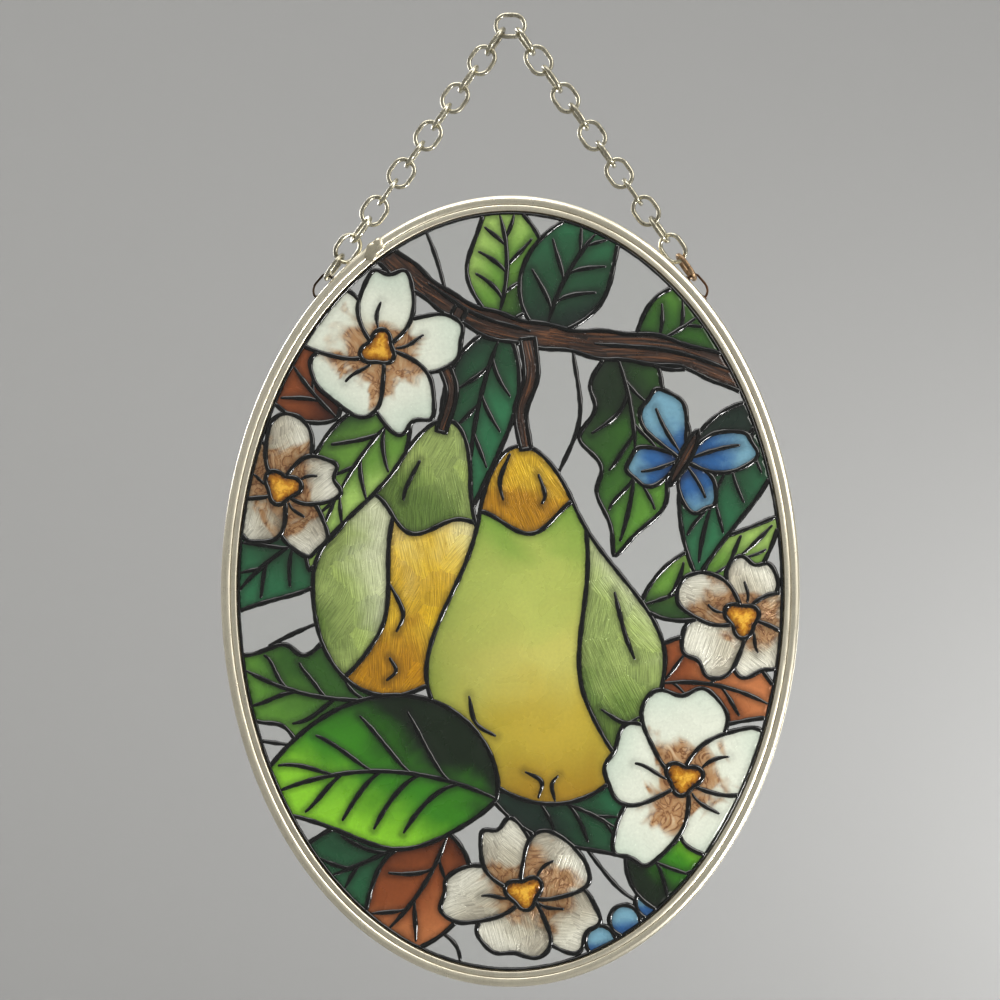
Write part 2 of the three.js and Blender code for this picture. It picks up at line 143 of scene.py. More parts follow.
def add_lamp(name, place, aim, size, watts, colour=(1.0, 1.0, 1.0)):
    """A square area lamp in millimetres, turned from its place towards its aim."""
    lamp = bpy.data.objects.new(name, bpy.data.lights.new(name, "AREA"))
    lamp.data.shape = "RECTANGLE"
    lamp.data.size, lamp.data.size_y = size[0] * MM, size[1] * MM
    lamp.data.energy = watts
    lamp.data.color = colour
    lamp.location = Vector(place) * MM
    lamp.rotation_euler = (Vector(aim) - Vector(place)).to_track_quat("-Z", "Y").to_euler()
    lamp.visible_camera = False
    lamp.visible_transmission = False
    bpy.context.scene.collection.objects.link(lamp)


PANEL_MIDDLE = (0, 0, -150)
add_lamp("window", (620, -520, 260), PANEL_MIDDLE, (420, 700), 5.4, (1.0, 0.97, 0.92))
add_lamp("ceiling", (-150, -350, 700), PANEL_MIDDLE, (700, 400), 3.2, (1.0, 0.98, 0.95))
add_lamp("low_right", (440, -330, -500), PANEL_MIDDLE, (90, 110), 3.2, (1.0, 0.99, 0.97))
add_lamp("wall_wash", (700, 350, -500), (350, 1000, -300), (500, 500), 7.0)
add_lamp("behind", (-460, 480, 120), (-460, -1000, 120), (400, 400), 4.5)

world = bpy.data.worlds.new("room")
world.use_nodes = True
room = world.node_tree
direction = node(room, "ShaderNodeTexCoord").outputs["Generated"]
BRIGHT_SIDE = (-0.45, -0.3, 0.8)
towards = node(room, "ShaderNodeVectorMath", {0: direction, 1: BRIGHT_SIDE}, operation="DOT_PRODUCT")
height = node(room, "ShaderNodeMapRange", {"Value": towards.outputs["Value"], "From Min": -1.0})
ceiling_to_floor = node(room, "ShaderNodeValToRGB", {"Fac": height.outputs[0]})
for element, place, tone in zip(ceiling_to_floor.color_ramp.elements, (0.25, 0.8), (42, 245)):
    element.position, element.color = place, rgb(tone, tone, tone)
room.links.new(ceiling_to_floor.outputs["Color"], room.nodes["Background"].inputs["Color"])
room.nodes["Background"].inputs["Strength"].default_value = 1.3
bpy.context.scene.world = world


# ---- Came ----
# A nickel-plated strip bent round the pane: a wide outer bead, a fine groove and a narrow inner bead on
# its face, a slot for the glass and a plain back flange. Its ends meet under a lump of solder.

came_low, came_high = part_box("frame")
OVAL_A = (came_high.x - came_low.x) / 2 / MM
OVAL_B = (came_high.z - came_low.z) / 2 / MM
OVAL_Z = (came_high.z + came_low.z) / 2 / MM
CAME_WALL, CAME_FACE, BEAD_FRONT, SLOT_HALF = 2.6, 4.6, 2.7, 1.8
SEAM_TURN, LUMP_ROUND, LUMP_DOWN = 119.0, 64, 31
CAME_SECTION = np.array([
    (0.0, -1.25), (0.12, -1.95), (0.62, -2.46), (1.45, -BEAD_FRONT), (2.2, -2.54), (2.58, -2.34),
    (2.7, -2.16), (2.8, -2.16), (2.91, -2.3), (3.25, -2.4), (3.75, -2.45), (4.28, -2.36), (4.56, -2.12),
    (CAME_FACE, -1.86), (4.5, -SLOT_HALF), (2.66, -SLOT_HALF), (CAME_WALL, -1.7), (CAME_WALL, 1.7),
    (2.66, SLOT_HALF), (4.5, SLOT_HALF), (CAME_FACE, 1.86), (4.5, 2.14), (3.6, 2.34), (0.9, 2.42),
    (0.3, 2.1), (0.0, 1.5),
])


def oval(turn, inward, depth=0.0):
    """Points of the oval at each turn, moved inward along its normal: (A cos t, B sin t) - i n."""
    turn, inward = np.broadcast_arrays(turn, inward)
    normal = np.stack([np.cos(turn) / OVAL_A, np.sin(turn) / OVAL_B], -1)
    normal = normal / np.linalg.norm(normal, axis=-1, keepdims=True)
    flat = np.stack([OVAL_A * np.cos(turn), OVAL_B * np.sin(turn)], -1) - inward[..., None] * normal
    return np.stack([flat[..., 0], np.broadcast_to(depth, turn.shape), flat[..., 1] + OVAL_Z], -1)


def rounded(before, start, end, after, per):
    """Catmull-Rom points from start to end: (2b + (c-a)t + (2a-5b+4c-d)t^2 + (3b-a-3c+d)t^3) / 2."""
    a, b, c, d = before[:, None], start[:, None], end[:, None], after[:, None]
    t = (np.arange(per) / per)[None, :, None]
    made = 2 * b + (c - a) * t + (2 * a - 5 * b + 4 * c - d) * t**2 + (3 * b - a - 3 * c + d) * t**3
    return (made / 2).reshape(-1, 2)


def new_group(name, inputs, outputs):
    """A shader node group, its given values and its results. A socket that starts as a colour is one."""
    tree = bpy.data.node_groups.new(name, "ShaderNodeTree")
    for way, sockets in (("INPUT", inputs), ("OUTPUT", outputs)):
        for key, start in sockets.items():
            kind = "NodeSocketColor" if isinstance(start, tuple) else "NodeSocketFloat"
            tree.interface.new_socket(key, in_out=way, socket_type=kind).default_value = start
    return tree, tree.nodes.new("NodeGroupInput").outputs, tree.nodes.new("NodeGroupOutput").inputs


def own_place(tree):
    """The place on the object itself, in metres."""
    return node(tree, "ShaderNodeTexCoord").outputs["Object"]


def value_of(tree, name):
    """A value kept on the mesh's points."""
    return node(tree, "ShaderNodeAttribute", attribute_name=name).outputs["Fac"]


def math(tree, operation, *values, clamp=False):
    """A Math node's result."""
    made = node(tree, "ShaderNodeMath", dict(enumerate(values)), operation=operation, use_clamp=clamp)
    return made.outputs[0]


def cloud(tree, where, scale, detail, **more):
    """Soft noise of 0 to 1 at a place."""
    made = node(tree, "ShaderNodeTexNoise", {"Vector": where, "Scale": scale, "Detail": detail, **more})
    return made.outputs["Fac"]


def ranged(tree, value, low, high, start=0.0, end=1.0, **settings):
    """Start to end as the value goes from low to high."""
    ends = {"From Min": low, "From Max": high, "To Min": start, "To Max": end}
    return node(tree, "ShaderNodeMapRange", {"Value": value, **ends}, **settings).outputs[0]


def mixed(tree, share, under, over, blend="MIX"):
    """Two colours mixed."""
    made = node(tree, "ShaderNodeMix", {0: share, 6: under, 7: over}, data_type="RGBA", blend_type=blend)
    return made.outputs[2]


def bumped(tree, shader, height, strength, distance):
    """Feeds a height to the shader as fine relief, at most distance metres high."""
    relief = node(tree, "ShaderNodeBump", {"Height": height, "Strength": strength, "Distance": distance})
    tree.links.new(relief.outputs[0], shader.inputs["Normal"])


BLANK = (0.8, 0.8, 0.8, 1.0)


def plated_metal_group():
    """Nickel plate: cloudy tarnish, more of it in recesses, fine scratches and pin-point pits."""
    tree, given, out = new_group(
        "plated_metal", {"Metal": BLANK, "Tarnish": BLANK, "Recess": 0.0, "Amount": 0.4, "Polish": 0.2},
        {"Color": BLANK, "Roughness": 0.0, "Height": 0.0})
    where = own_place(tree)
    patch = ranged(tree, cloud(tree, where, 130, 6, Roughness=0.65), 0.46, 0.74)
    spot = ranged(tree, cloud(tree, where, 2600, 2), 0.62, 0.72)
    drawn = node(tree, "ShaderNodeMapping", {"Vector": where, "Scale": (900, 900, 90)})
    scratch = cloud(tree, drawn.outputs[0], 1.6, 3)
    worn = math(tree, "MULTIPLY", math(tree, "ADD", patch, spot), given["Amount"])
    deep = math(tree, "ADD", worn, given["Recess"], clamp=True)
    rough = math(tree, "MULTIPLY_ADD", deep, 0.32, given["Polish"])
    tree.links.new(mixed(tree, deep, given["Metal"], given["Tarnish"]), out["Color"])
    tree.links.new(math(tree, "MULTIPLY_ADD", scratch, 0.16, rough), out["Roughness"])
    tree.links.new(math(tree, "MULTIPLY_ADD", spot, -0.5, scratch), out["Height"])
    return tree


PLATED = plated_metal_group()


def plated(name, metal, tarnish, amount, polish, bump=0.12):
    """A metal material of the plated group; the mesh's own recess values darken its hollows."""
    material, tree, shader = new_material(name, Metallic=1.0)
    group = node(tree, "ShaderNodeGroup", {
        "Metal": metal, "Tarnish": tarnish, "Amount": amount, "Polish": polish,
        "Recess": value_of(tree, "recess")}, node_tree=PLATED).outputs
    tree.links.new(group["Color"], shader.inputs["Base Color"])
    tree.links.new(group["Roughness"], shader.inputs["Roughness"])
    bumped(tree, shader, group["Height"], bump, 0.00004)
    return material


came_metal = plated("came_nickel", rgb(250, 243, 220), rgb(92, 76, 54), 0.24, 0.22)

section = rounded(*(np.roll(CAME_SECTION, shift, 0) for shift in (1, 0, -1, -2)), 4)
section = np.maximum(section, (0.0, -BEAD_FRONT))
turn = np.linspace(0, 2 * np.pi, 600, endpoint=False)[:, None]
waver = 1 + 0.012 * np.sin(9 * turn + 1) + 0.008 * np.sin(23 * turn)
came_points = oval(turn, section[None, :, 0], section[None, :, 1] * np.minimum(waver, 1))
groove = 0.6 * np.exp(-(((section[:, 0] - 2.75) / 0.14) ** 2)) * (section[:, 1] < 0)
inner_edge = np.clip((section[:, 0] - 4.3) / 0.3, 0, 1) * (np.abs(section[:, 1]) < 2.3)
came_recess = np.broadcast_to(np.clip(groove + inner_edge, 0, 1), (len(turn), len(section)))
came = new_piece("came", came_points.reshape(-1, 3),
                 grid_faces(len(turn), len(section), True, True).tolist(), came_metal, recess=came_recess)
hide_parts("frame")
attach(came, "root")

solder_metal = plated("solder_lump_metal", rgb(222, 214, 190), rgb(84, 68, 50), 0.5, 0.2, 0.2)


def solder_lump(turn_deg, inward, wide, tall, high, phase):
    """A flattened ball at the came's face whose radius waves: 1 + sum of sines of both angles."""
    u = np.linspace(0, 2 * np.pi, LUMP_ROUND, endpoint=False)[:, None]
    v = np.linspace(0, np.pi, LUMP_DOWN + 2)[None, 1:-1]
    flat = np.sin(v)
    radius = 1 + 0.1 * np.sin(3 * u + phase) * flat + 0.04 * np.sin(5 * u + v + 2 * phase) * flat**2
    a, b, c = wide * radius * np.cos(u) * flat, high * radius * np.cos(v), tall * radius * np.sin(u) * flat
    spot = np.radians(turn_deg)
    way = np.arctan2(np.sin(spot) / OVAL_B, np.cos(spot) / OVAL_A) + np.pi / 2
    middle = oval(spot, inward, -BEAD_FRONT + 0.3)
    rows = np.stack([middle[0] + a * np.cos(way) - c * np.sin(way), middle[1] - b,
                     middle[2] + a * np.sin(way) + c * np.cos(way)], -1).reshape(-1, 3)
    return np.vstack([rows, middle - (0, high, 0), middle + (0, high, 0)])


def joined(parts):
    """Points and faces of several closed bodies as one."""
    start = np.cumsum([0] + [len(points) for points, _ in parts])
    points = np.concatenate([points for points, _ in parts])
    faces = [[corner + first for corner in face] for (_, some), first in zip(parts, start) for face in some]
    return points, faces


def ball_faces(rows, columns):
    """Quads of a ball's rows, from one pole to the other, and a fan to each pole point after them."""
    near, far = rows * columns, rows * columns + 1
    quads = grid_faces(rows, columns, True, False).tolist()
    fans = [[near, (k + 1) % rows * columns, k * columns] for k in range(rows)]
    fans += [[far, (k + 1) * columns - 1, ((k + 1) % rows + 1) * columns - 1] for k in range(rows)]
    return quads + fans


lumps = [(SEAM_TURN, 1.9, 3.4, 2.0, 0.8, 0.4), (SEAM_TURN - 1.0, 1.1, 2.3, 1.4, 0.7, 2.0),
         (SEAM_TURN + 0.8, 2.9, 2.2, 1.5, 0.66, 4.0)]
lump_faces = ball_faces(LUMP_ROUND, LUMP_DOWN)
solder_points, solder_faces = joined([(solder_lump(*lump), lump_faces) for lump in lumps])
solder = new_piece("solder_lump", solder_points, solder_faces, solder_metal,
                   recess=np.zeros(len(solder_points)))
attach(solder, "root")


# ---- Glass pane ----
# One clear oval pane 3 mm thick with ground edges, seated in the came's slot. It is left unpainted
# between the motifs, so the room shows through it.

PANE_HALF, PANE_INWARD, GROUND_EDGE = 1.5, 2.9, 0.25

glass, glass_tree, glass_shader = new_material(
    "clear_glass", Base_Color=(0.985, 1.0, 0.99, 1.0), Transmission_Weight=1.0, IOR=1.5, Metallic=0.0)
glass_where = own_place(glass_tree)
smudges = ranged(glass_tree, cloud(glass_tree, glass_where, 45, 5), 0.5, 0.8, 0.0, 0.06)
glass_tree.links.new(smudges, glass_shader.inputs["Roughness"])
bumped(glass_tree, glass_shader, cloud(glass_tree, glass_where, 14, 1), 0.15, 0.0004)

pane_turn = np.linspace(0, 2 * np.pi, 360, endpoint=False)[:, None]
front_half = [(40.0, -PANE_HALF), (20.0, -PANE_HALF), (6.0, -PANE_HALF), (0.6, -PANE_HALF),
              (GROUND_EDGE, -PANE_HALF), (0.07, -1.43), (0.0, -1.25)]
pane_profile = front_half + [(inward, -depth) for inward, depth in front_half[::-1]]
pane_inward, pane_depth = np.array(pane_profile).T
pane_rows = oval(pane_turn, PANE_INWARD + pane_inward[None], pane_depth[None])
count = len(pane_turn)
pane_quads = grid_faces(count, len(pane_profile), True, False).tolist()
front_cap = [k * len(pane_profile) for k in range(count)]
back_cap = [k * len(pane_profile) + len(pane_profile) - 1 for k in range(count)]
pane = new_piece("pane", pane_rows.reshape(-1, 3), pane_quads + [front_cap, back_cap[::-1]], glass)
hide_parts("glass_pane")
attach(pane, "root")


# ---- Picture ----
# The drawing that the raised lines and paints follow: two pears on a branch among leaves, blossom, a
# butterfly and berries. Cells are listed front to back, about the middle of the oval, in millimetres.

TAU = 2 * np.pi
RIM_INWARD, HEART, BERRY = 5.2, 4.6, 4.4
LINE_STEP, FINE_STEP, SHORTEST_RUN = 0.7, 0.15, 8
cells = []


def ease(low, high, x):
    """Smooth step: s s (3 - 2 s) of the place of x between low and high."""
    s = np.clip((x - low) / (high - low), 0, 1)
    return s * s * (3 - 2 * s)


def laid(run, side, centre, turn):
    """Own axes to the pane: run points at the turn, in degrees from +X, and side to its left."""
    c, s = np.cos(np.radians(turn)), np.sin(np.radians(turn))
    return np.stack([centre[0] + run * c - side * s, centre[1] + run * s + side * c], -1)


def curve(points):
    """A smooth open Catmull-Rom curve through the points."""
    p = np.asarray(points, float)
    p = np.vstack([2 * p[0] - p[1], p, 2 * p[-1] - p[-2]])
    return np.vstack([rounded(*(p[k:len(p) - 3 + k] for k in range(4)), 24), p[-2]])


def left_of(slope):
    """Unit normals to the left of flat directions."""
    slope = slope / np.maximum(np.linalg.norm(slope, axis=-1, keepdims=True), 1e-9)
    return np.stack([-slope[..., 1], slope[..., 0]], -1)


def spine(base, tip, bow, t):
    """Points and left normals of a chord that bows to its left by 4 bow t (1 - t)."""
    base, tip = np.array(base, float), np.array(tip, float)
    chord = tip - base
    left = np.array([-chord[1], chord[0]]) / np.hypot(*chord)
    points = base + chord * t[:, None] + left * (bow * 4 * t * (1 - t))[:, None]
    return points, left_of(chord + left * (bow * 4 * (1 - 2 * t))[:, None])


def add_cell(motif, paint, outline, ribs=(), own=None, within=None):
    """Adds a closed cell behind the ones before it; own gives (along, across, run, side) of points."""
    cells.append({"motif": motif, "paint": paint, "outline": outline, "ribs": list(ribs), "own": own,
                  "within": within})


def own_axes(centre, turn, start, reach, wide):
    """A measure of points: along 0 to 1 from start to reach, across -1 to 1, and both in millimetres."""
    def measure(points):
        c, s = np.cos(np.radians(turn)), np.sin(np.radians(turn))
        x, z = points[:, 0] - centre[0], points[:, 1] - centre[1]
        run, side = x * c + z * s, z * c - x * s
        return (run - start) / (reach - start), side / (wide / 2), run, side
    return measure


def pear(centre, wide, tall, turn):
    """Pear outline: side = w/2 sin t (1 - ease(.34, .82, up) / 2), run = h (up - .4)."""
    t = np.linspace(0, TAU, 400, endpoint=False)
    up = (1 - np.cos(t)) / 2
    side = wide / 2 * np.sin(t) * (1 - 0.5 * ease(0.34, 0.82, up))
    return laid(tall * (up - 0.4), side, centre, turn)


def add_pear(motif, paint, outline, centre, wide, tall, turn, ribs=(), within=None):
    """A pear-shaped cell with that outline."""
    own = own_axes(centre, turn, -0.4 * tall, 0.6 * tall, wide)
    add_cell(motif, paint, outline, [curve(rib) for rib in ribs], own, within)


def add_neck(motif, paint, centre, reach, wide, turn, waves, depth, ribs, within):
    """A pear's shoulder patch, round above and scalloped below."""
    t = np.linspace(0, TAU, 400, endpoint=False)
    run = reach * np.cos(t) + depth * np.cos(waves * t) * (np.cos(t) < 0)
    outline = laid(run, wide * np.sin(t), centre, turn)
    own = own_axes(centre, turn, -reach, reach, 2 * wide)
    add_cell(motif, paint, outline, [curve(rib) for rib in ribs], own, within)


def petal(centre, turn, reach, wide, foot, notch=0.0, phase=0.0, inner=0.0):
    """Petal outline, narrower at its foot, wavy at its lip, with a notch in the middle of the lip."""
    t = np.linspace(0, TAU, 240, endpoint=False)
    s = (1 - np.cos(t)) / 2
    side = wide / 2 * np.sin(t) * (1 - foot * (1 - s) ** 2) * (1 + 0.09 * np.sin(3 * t + phase))
    run = inner + (reach - inner) * s - notch * np.exp(-((side / (0.22 * wide)) ** 2)) * s**6
    return laid(run + 0.035 * reach * np.sin(5 * t + 2 * phase) * s**3, side, centre, turn)


def add_blossom(motif, paint, centre, reach, turn):
    """Five petals and a three-lobed heart, the first petal on top."""
    t = np.linspace(0, TAU, 120, endpoint=False)
    radius = HEART * (1 + 0.2 * np.cos(3 * t) + 0.08 * np.cos(2 * t + 1))
    heart = laid(radius * np.cos(t), radius * np.sin(t), centre, turn)
    add_cell(motif + "_heart", "heart", heart, own=own_axes(centre, turn, -HEART, HEART, 2 * HEART))
    for k in range(5):
        way = turn + 72 * k
        grown = reach * (1 + 0.13 * np.cos(2.3 * k + turn))
        wide = reach * (0.86 + 0.14 * np.sin(1.7 * k + turn))
        s = np.linspace(0, 3, 24)
        crease = laid(np.linspace(HEART, 0.55 * reach, 24), 0.05 * reach * np.sin(s + k), centre, way + 6)
        outline = petal(centre, way, grown, wide, 0.45, 0.1 * reach, 1.9 * k + turn)
        own = own_axes(centre, way, 0, grown, wide)
        add_cell(motif, paint, outline, [crease] if k % 2 == 0 else [], own)


def add_leaf(motif, paint, base, tip, wide, bow, pairs, lobes=0, depth=0.0):
    """A leaf about a bowed midrib: half width w/2 sin(pi t^.8)^.85 (1.08 - .28 t), with side veins."""
    def half(t):
        lobed = 1 + depth * np.cos(TAU * lobes * (t - 0.08))
        return wide / 2 * np.clip(np.sin(np.pi * t**0.8), 0, 1) ** 0.85 * (1.08 - 0.28 * t) * lobed

    def own(points):
        chord = np.subtract(tip, base)
        long = np.hypot(*chord)
        t = (points - np.array(base)) @ chord / long**2
        side = ((points - np.array(base)) @ np.array([-chord[1], chord[0]])) / long - bow * 4 * t * (1 - t)
        return t, side / (wide / 2), t * long, side

    t = (1 - np.cos(np.linspace(0, np.pi, 160))) / 2
    middle, left = spine(base, tip, bow, t)
    outline = np.concatenate([middle + left * half(t)[:, None], (middle - left * half(t)[:, None])[-2:0:-1]])
    ribs = [spine(base, tip, bow, np.linspace(0, 0.93, 120))[0]]
    for pair in range(pairs):
        for side in (1, -1):
            s = np.linspace(0, 1, 40)
            t = 0.14 + 0.62 * (pair + 0.25 * (side < 0)) / pairs + 0.2 * s**0.8
            middle, left = spine(base, tip, bow, t)
            ribs.append(middle + left * (side * half(t) * 0.8 * s**1.15)[:, None])
    add_cell(motif, paint, outline, ribs, own)


def add_band(motif, paint, points, start, end, knots=0.0, ribs=()):
    """A stem or branch: a tapered band along a curve, with knots in its width."""
    middle = curve(points)
    left = left_of(np.gradient(middle, axis=0))
    u = np.linspace(0, 1, len(middle))
    half = ((start + (end - start) * u) / 2 * (1 + knots * np.sin(17 * u + 1) * np.sin(41 * u)))[:, None]

    def own(places):
        nearest = np.argmin(np.linalg.norm(places[:, None] - middle[None], axis=2), 1)
        side = np.sum((places - middle[nearest]) * left[nearest], 1)
        step = np.linalg.norm(np.diff(middle, axis=0), axis=1).mean()
        return nearest / len(middle), side / half[nearest, 0], nearest * step, side

    outline = np.concatenate([middle + left * half, (middle - left * half)[::-1]])
    add_cell(motif, paint, outline, [curve(rib) for rib in ribs], own)


FRONT_PEAR, BACK_PEAR = ((10, -20), 72, 104, 97), ((-31, 2), 54, 82, 74)
front_pear, back_pear = pear(*FRONT_PEAR), pear(*BACK_PEAR)
add_band("stem_front", "bark", [(4.5, 41), (3, 52), (6, 62), (5, 73)], 3.0, 4.4)
add_blossom("blossom_right", "opal", (50, -54), 27, 18)
add_blossom("blossom_top", "opal", (-38, 70), 25, 80)
BUTTERFLY, BUTTERFLY_TURN, WING_SPAN = (50, 38), 62, 17
tail, head, body_wide = -0.5 * WING_SPAN, 0.55 * WING_SPAN, 0.2 * WING_SPAN
add_cell("butterfly_body", "bark", petal(BUTTERFLY, BUTTERFLY_TURN, head, body_wide, 0.2, inner=tail),
         own=own_axes(BUTTERFLY, BUTTERFLY_TURN, tail, head, body_wide))
for wing, reach, wide in ((52, 1.25, 0.85), (-52, 1.25, 0.85), (128, 0.95, 0.75), (-128, 0.95, 0.75)):
    way = BUTTERFLY_TURN + wing
    sway = 0.08 * WING_SPAN * np.sin(np.linspace(0, 2, 30))
    vein = laid(np.linspace(0.1, 0.8, 30) * WING_SPAN * reach, sway, BUTTERFLY, way)
    reach, wide = WING_SPAN * reach, WING_SPAN * wide
    add_cell("butterfly", "wing", petal(BUTTERFLY, way, reach, wide, 0.75, phase=wing), [vein],
             own_axes(BUTTERFLY, way, 0, reach, wide))
add_blossom("blossom_low", "pearl", (4, -87), 23, 40)
add_leaf("leaf_big", "bright", (-4, -60), (-76, -62), 46, -9, 4)
add_neck("pear_front_neck", "gold", (2.5, 46), 27, 30, 97, 7, 2.6,
         [[(0, 40), (-3, 32), (-2, 26)], [(8, 34), (10, 28), (9, 25)]], front_pear)
FRONT_CHEEK, BACK_CHEEK = ((39, -22), 40, 92, 104), ((-50, -4), 30, 66, 68)
add_pear("pear_front_cheek", "sage", pear(*FRONT_CHEEK), *FRONT_CHEEK,
         [[(30, 0), (33, -12), (36, -20)], [(26, -34), (33, -38), (38, -36)]], front_pear)
add_pear("pear_front", "belly", front_pear, *FRONT_PEAR,
         [[(4, -52), (9, -55), (8, -60)], [(14, -53), (12, -56), (13, -61)],
          [(-12, -30), (-10, -38), (-4, -42)]])
add_band("stem_back", "bark", [(-20, 46), (-17, 58), (-20, 70), (-14, 82)], 2.8, 3.6)
add_neck("pear_back_neck", "sage", (-21, 44), 26, 26, 74, 7, 2.4, [[(-26, 38), (-30, 30), (-31, 26)]],
         back_pear)
add_pear("pear_back_cheek", "sage", pear(*BACK_CHEEK), *BACK_CHEEK, within=back_pear)
add_pear("pear_back", "gold", back_pear, *BACK_PEAR,
         [[(-36, -26), (-33, -23), (-35, -19)], [(-36, 4), (-31, -6), (-33, -12)]])
add_band("branch", "bark", [(84, 54), (50, 68), (20, 72), (-8, 78), (-30, 92), (-50, 110)], 8.4, 5.4, 0.2,
         [[(74, 60), (48, 69), (24, 71.5)], [(6, 75), (-10, 80), (-24, 89)]])
add_blossom("blossom_left", "pearl", (-66, 30), 20, 10)
add_blossom("blossom_side", "pearl", (67, -8), 20, 150)
for name, paint, base, tip, *shape in (
    ("leaf_top", "dark_green", (10, 74), (34, 112), 26, 4, 3),
    ("leaf_top_left", "light_green", (-4, 78), (-6, 116), 24, -4, 3),
    ("leaf_top_right", "mid_green", (36, 70), (66, 94), 24, -4, 3),
    ("leaf_hang", "mid_green", (30, 70), (30, 10), 28, 6, 3, 3, 0.18),
    ("leaf_right", "dark_green", (76, 54), (54, 4), 25, -5, 3),
    ("leaf_side", "light_green", (38, -4), (78, 22), 20, -4, 3),
    ("leaf_between", "dark_green", (-2, 76), (-12, 22), 22, -3, 3),
    ("leaf_left_up", "light_green", (-30, 54), (-58, 6), 24, -4, 3),
    ("leaf_left_low", "mid_green", (-30, -30), (-84, -18), 32, 6, 3, 3, 0.2),
    ("leaf_left_mid", "dark_green", (-46, 20), (-84, -8), 28, -5, 3),
    ("leaf_low_right", "bright", (34, -74), (72, -84), 26, -3, 2),
    ("leaf_rust_right", "rust", (36, -28), (80, -36), 28, 5, 2),
    ("leaf_rust_low", "rust", (-18, -70), (-46, -106), 28, 4, 2),
    ("leaf_rust_top", "rust", (-50, 50), (-72, 86), 22, 3, 2),
    ("leaf_low_left", "dark_green", (-26, -70), (-78, -88), 26, 3, 3),
    ("leaf_low_mid", "dark_green", (-6, -58), (44, -80), 24, 6, 3),
):
    add_leaf(name, paint, base, tip, *shape)
for place in ((33, -95), (40.5, -90), (26, -101)):
    t = np.linspace(0, TAU, 100, endpoint=False)
    add_cell("berries", "wing", laid(BERRY * np.cos(t), BERRY * np.sin(t), place, 0),
             own=own_axes(place, 90, -BERRY, BERRY, 2 * BERRY))
ground_lines = [curve(points) for points in (
    [(66, 86), (58, 96), (54, 112)], [(-18, 84), (-22, 98), (-28, 112)], [(50, 8), (66, 34), (84, 40)],
    [(-48, -6), (-62, -12), (-70, -16)], [(-40, -34), (-58, -44), (-80, -42)], [(18, 70), (20, 50), (13, 32)],
    [(20, -72), (34, -88), (52, -94)], [(-28, -94), (-16, -102), (-14, -114)],
)]
t = np.linspace(0, TAU, 720, endpoint=False)
opening = oval(t, RIM_INWARD)[:, [0, 2]] - (0, OVAL_Z)


def inside(points, outline):
    """Even-odd test of points against a closed outline, only where its box is."""
    found = np.zeros(len(points), bool)
    near = np.all((points >= outline.min(0)) & (points <= outline.max(0)), 1)
    if not near.any():
        return found
    x, z = points[near, 0][:, None], points[near, 1][:, None]
    x0, z0 = outline.T
    x1, z1 = np.roll(outline, -1, 0).T
    level = np.where(z1 == z0, 1e-12, z1 - z0)
    found[near] = np.sum(((z0 > z) != (z1 > z)) & (x < (x1 - x0) * (z - z0) / level + x0), 1) % 2 == 1
    return found


def evenly(points, step, closed=False):
    """Points of a line taken again at even steps of about the given length."""
    points = np.vstack([points, points[:1]]) if closed else points
    length = np.concatenate([[0], np.cumsum(np.linalg.norm(np.diff(points, axis=0), axis=1))])
    count = max(int(np.ceil(length[-1] / step)), 2)
    at = np.linspace(0, length[-1], count + 1)[:count if closed else count + 1]
    return np.stack([np.interp(at, length, points[:, 0]), np.interp(at, length, points[:, 1])], -1)


def visible_runs(line, number, within, closed):
    """Stretches of a line that no cell in front of the numbered one covers, as (points, closed)."""
    fine = evenly(line, FINE_STEP, closed)
    shown = inside(fine, opening)
    if within is not None:
        shown &= inside(fine, within)
    for front in cells[:number]:
        if front["within"] is None:
            shown &= ~inside(fine, front["outline"])
        elif line is not front["within"]:
            shown &= ~(inside(fine, front["outline"]) & inside(fine, front["within"]))
    if shown.all():
        return [(evenly(fine, LINE_STEP, closed), closed)]
    if closed:
        start = np.argmin(shown)
        fine, shown = np.roll(fine, -start, 0), np.roll(shown, -start)
    ends = np.flatnonzero(np.diff(np.concatenate([[0], shown.astype(int), [0]])))
    runs = [fine[a:b] for a, b in zip(ends[::2], ends[1::2]) if b - a > SHORTEST_RUN]
    return [(evenly(run, LINE_STEP), False) for run in runs]


# ---- Raised lines ----
# Black outliner squeezed from a fine nozzle along every edge, vein and crease: half-round ridges of
# uneven width that stand on the glass, thin out at their free ends and run round inside the came.

LINE_WIDE, RIM_LINE, LINE_HIGH, LINE_HIGHEST, LINE_FOOT, GLASS_FRONT = 1.5, 0.9, 0.68, 0.7, 0.03, -1.5
CROWN_POINTS = 9

line_black, line_tree, line_shader = new_material(
    "black_outliner", Base_Color=rgb(7, 8, 8), Specular_IOR_Level=0.12, Coat_Weight=1.0,
    Coat_Roughness=0.06)
line_where = own_place(line_tree)
dusty = ranged(line_tree, cloud(line_tree, line_where, 1900, 2), 0.45, 0.75, 0.22, 0.5)
line_tree.links.new(dusty, line_shader.inputs["Roughness"])
bumped(line_tree, line_shader, cloud(line_tree, line_where, 420, 3), 0.8, 0.0004)


def tube_faces(rows, around, closed):
    """Faces of a tube kept ring by ring, with a flat cap on each end unless it closes on itself."""
    faces, last = grid_faces(rows, around, closed, True).tolist(), (rows - 1) * around
    return faces if closed else faces + [list(range(around))[::-1], list(range(last, last + around))]


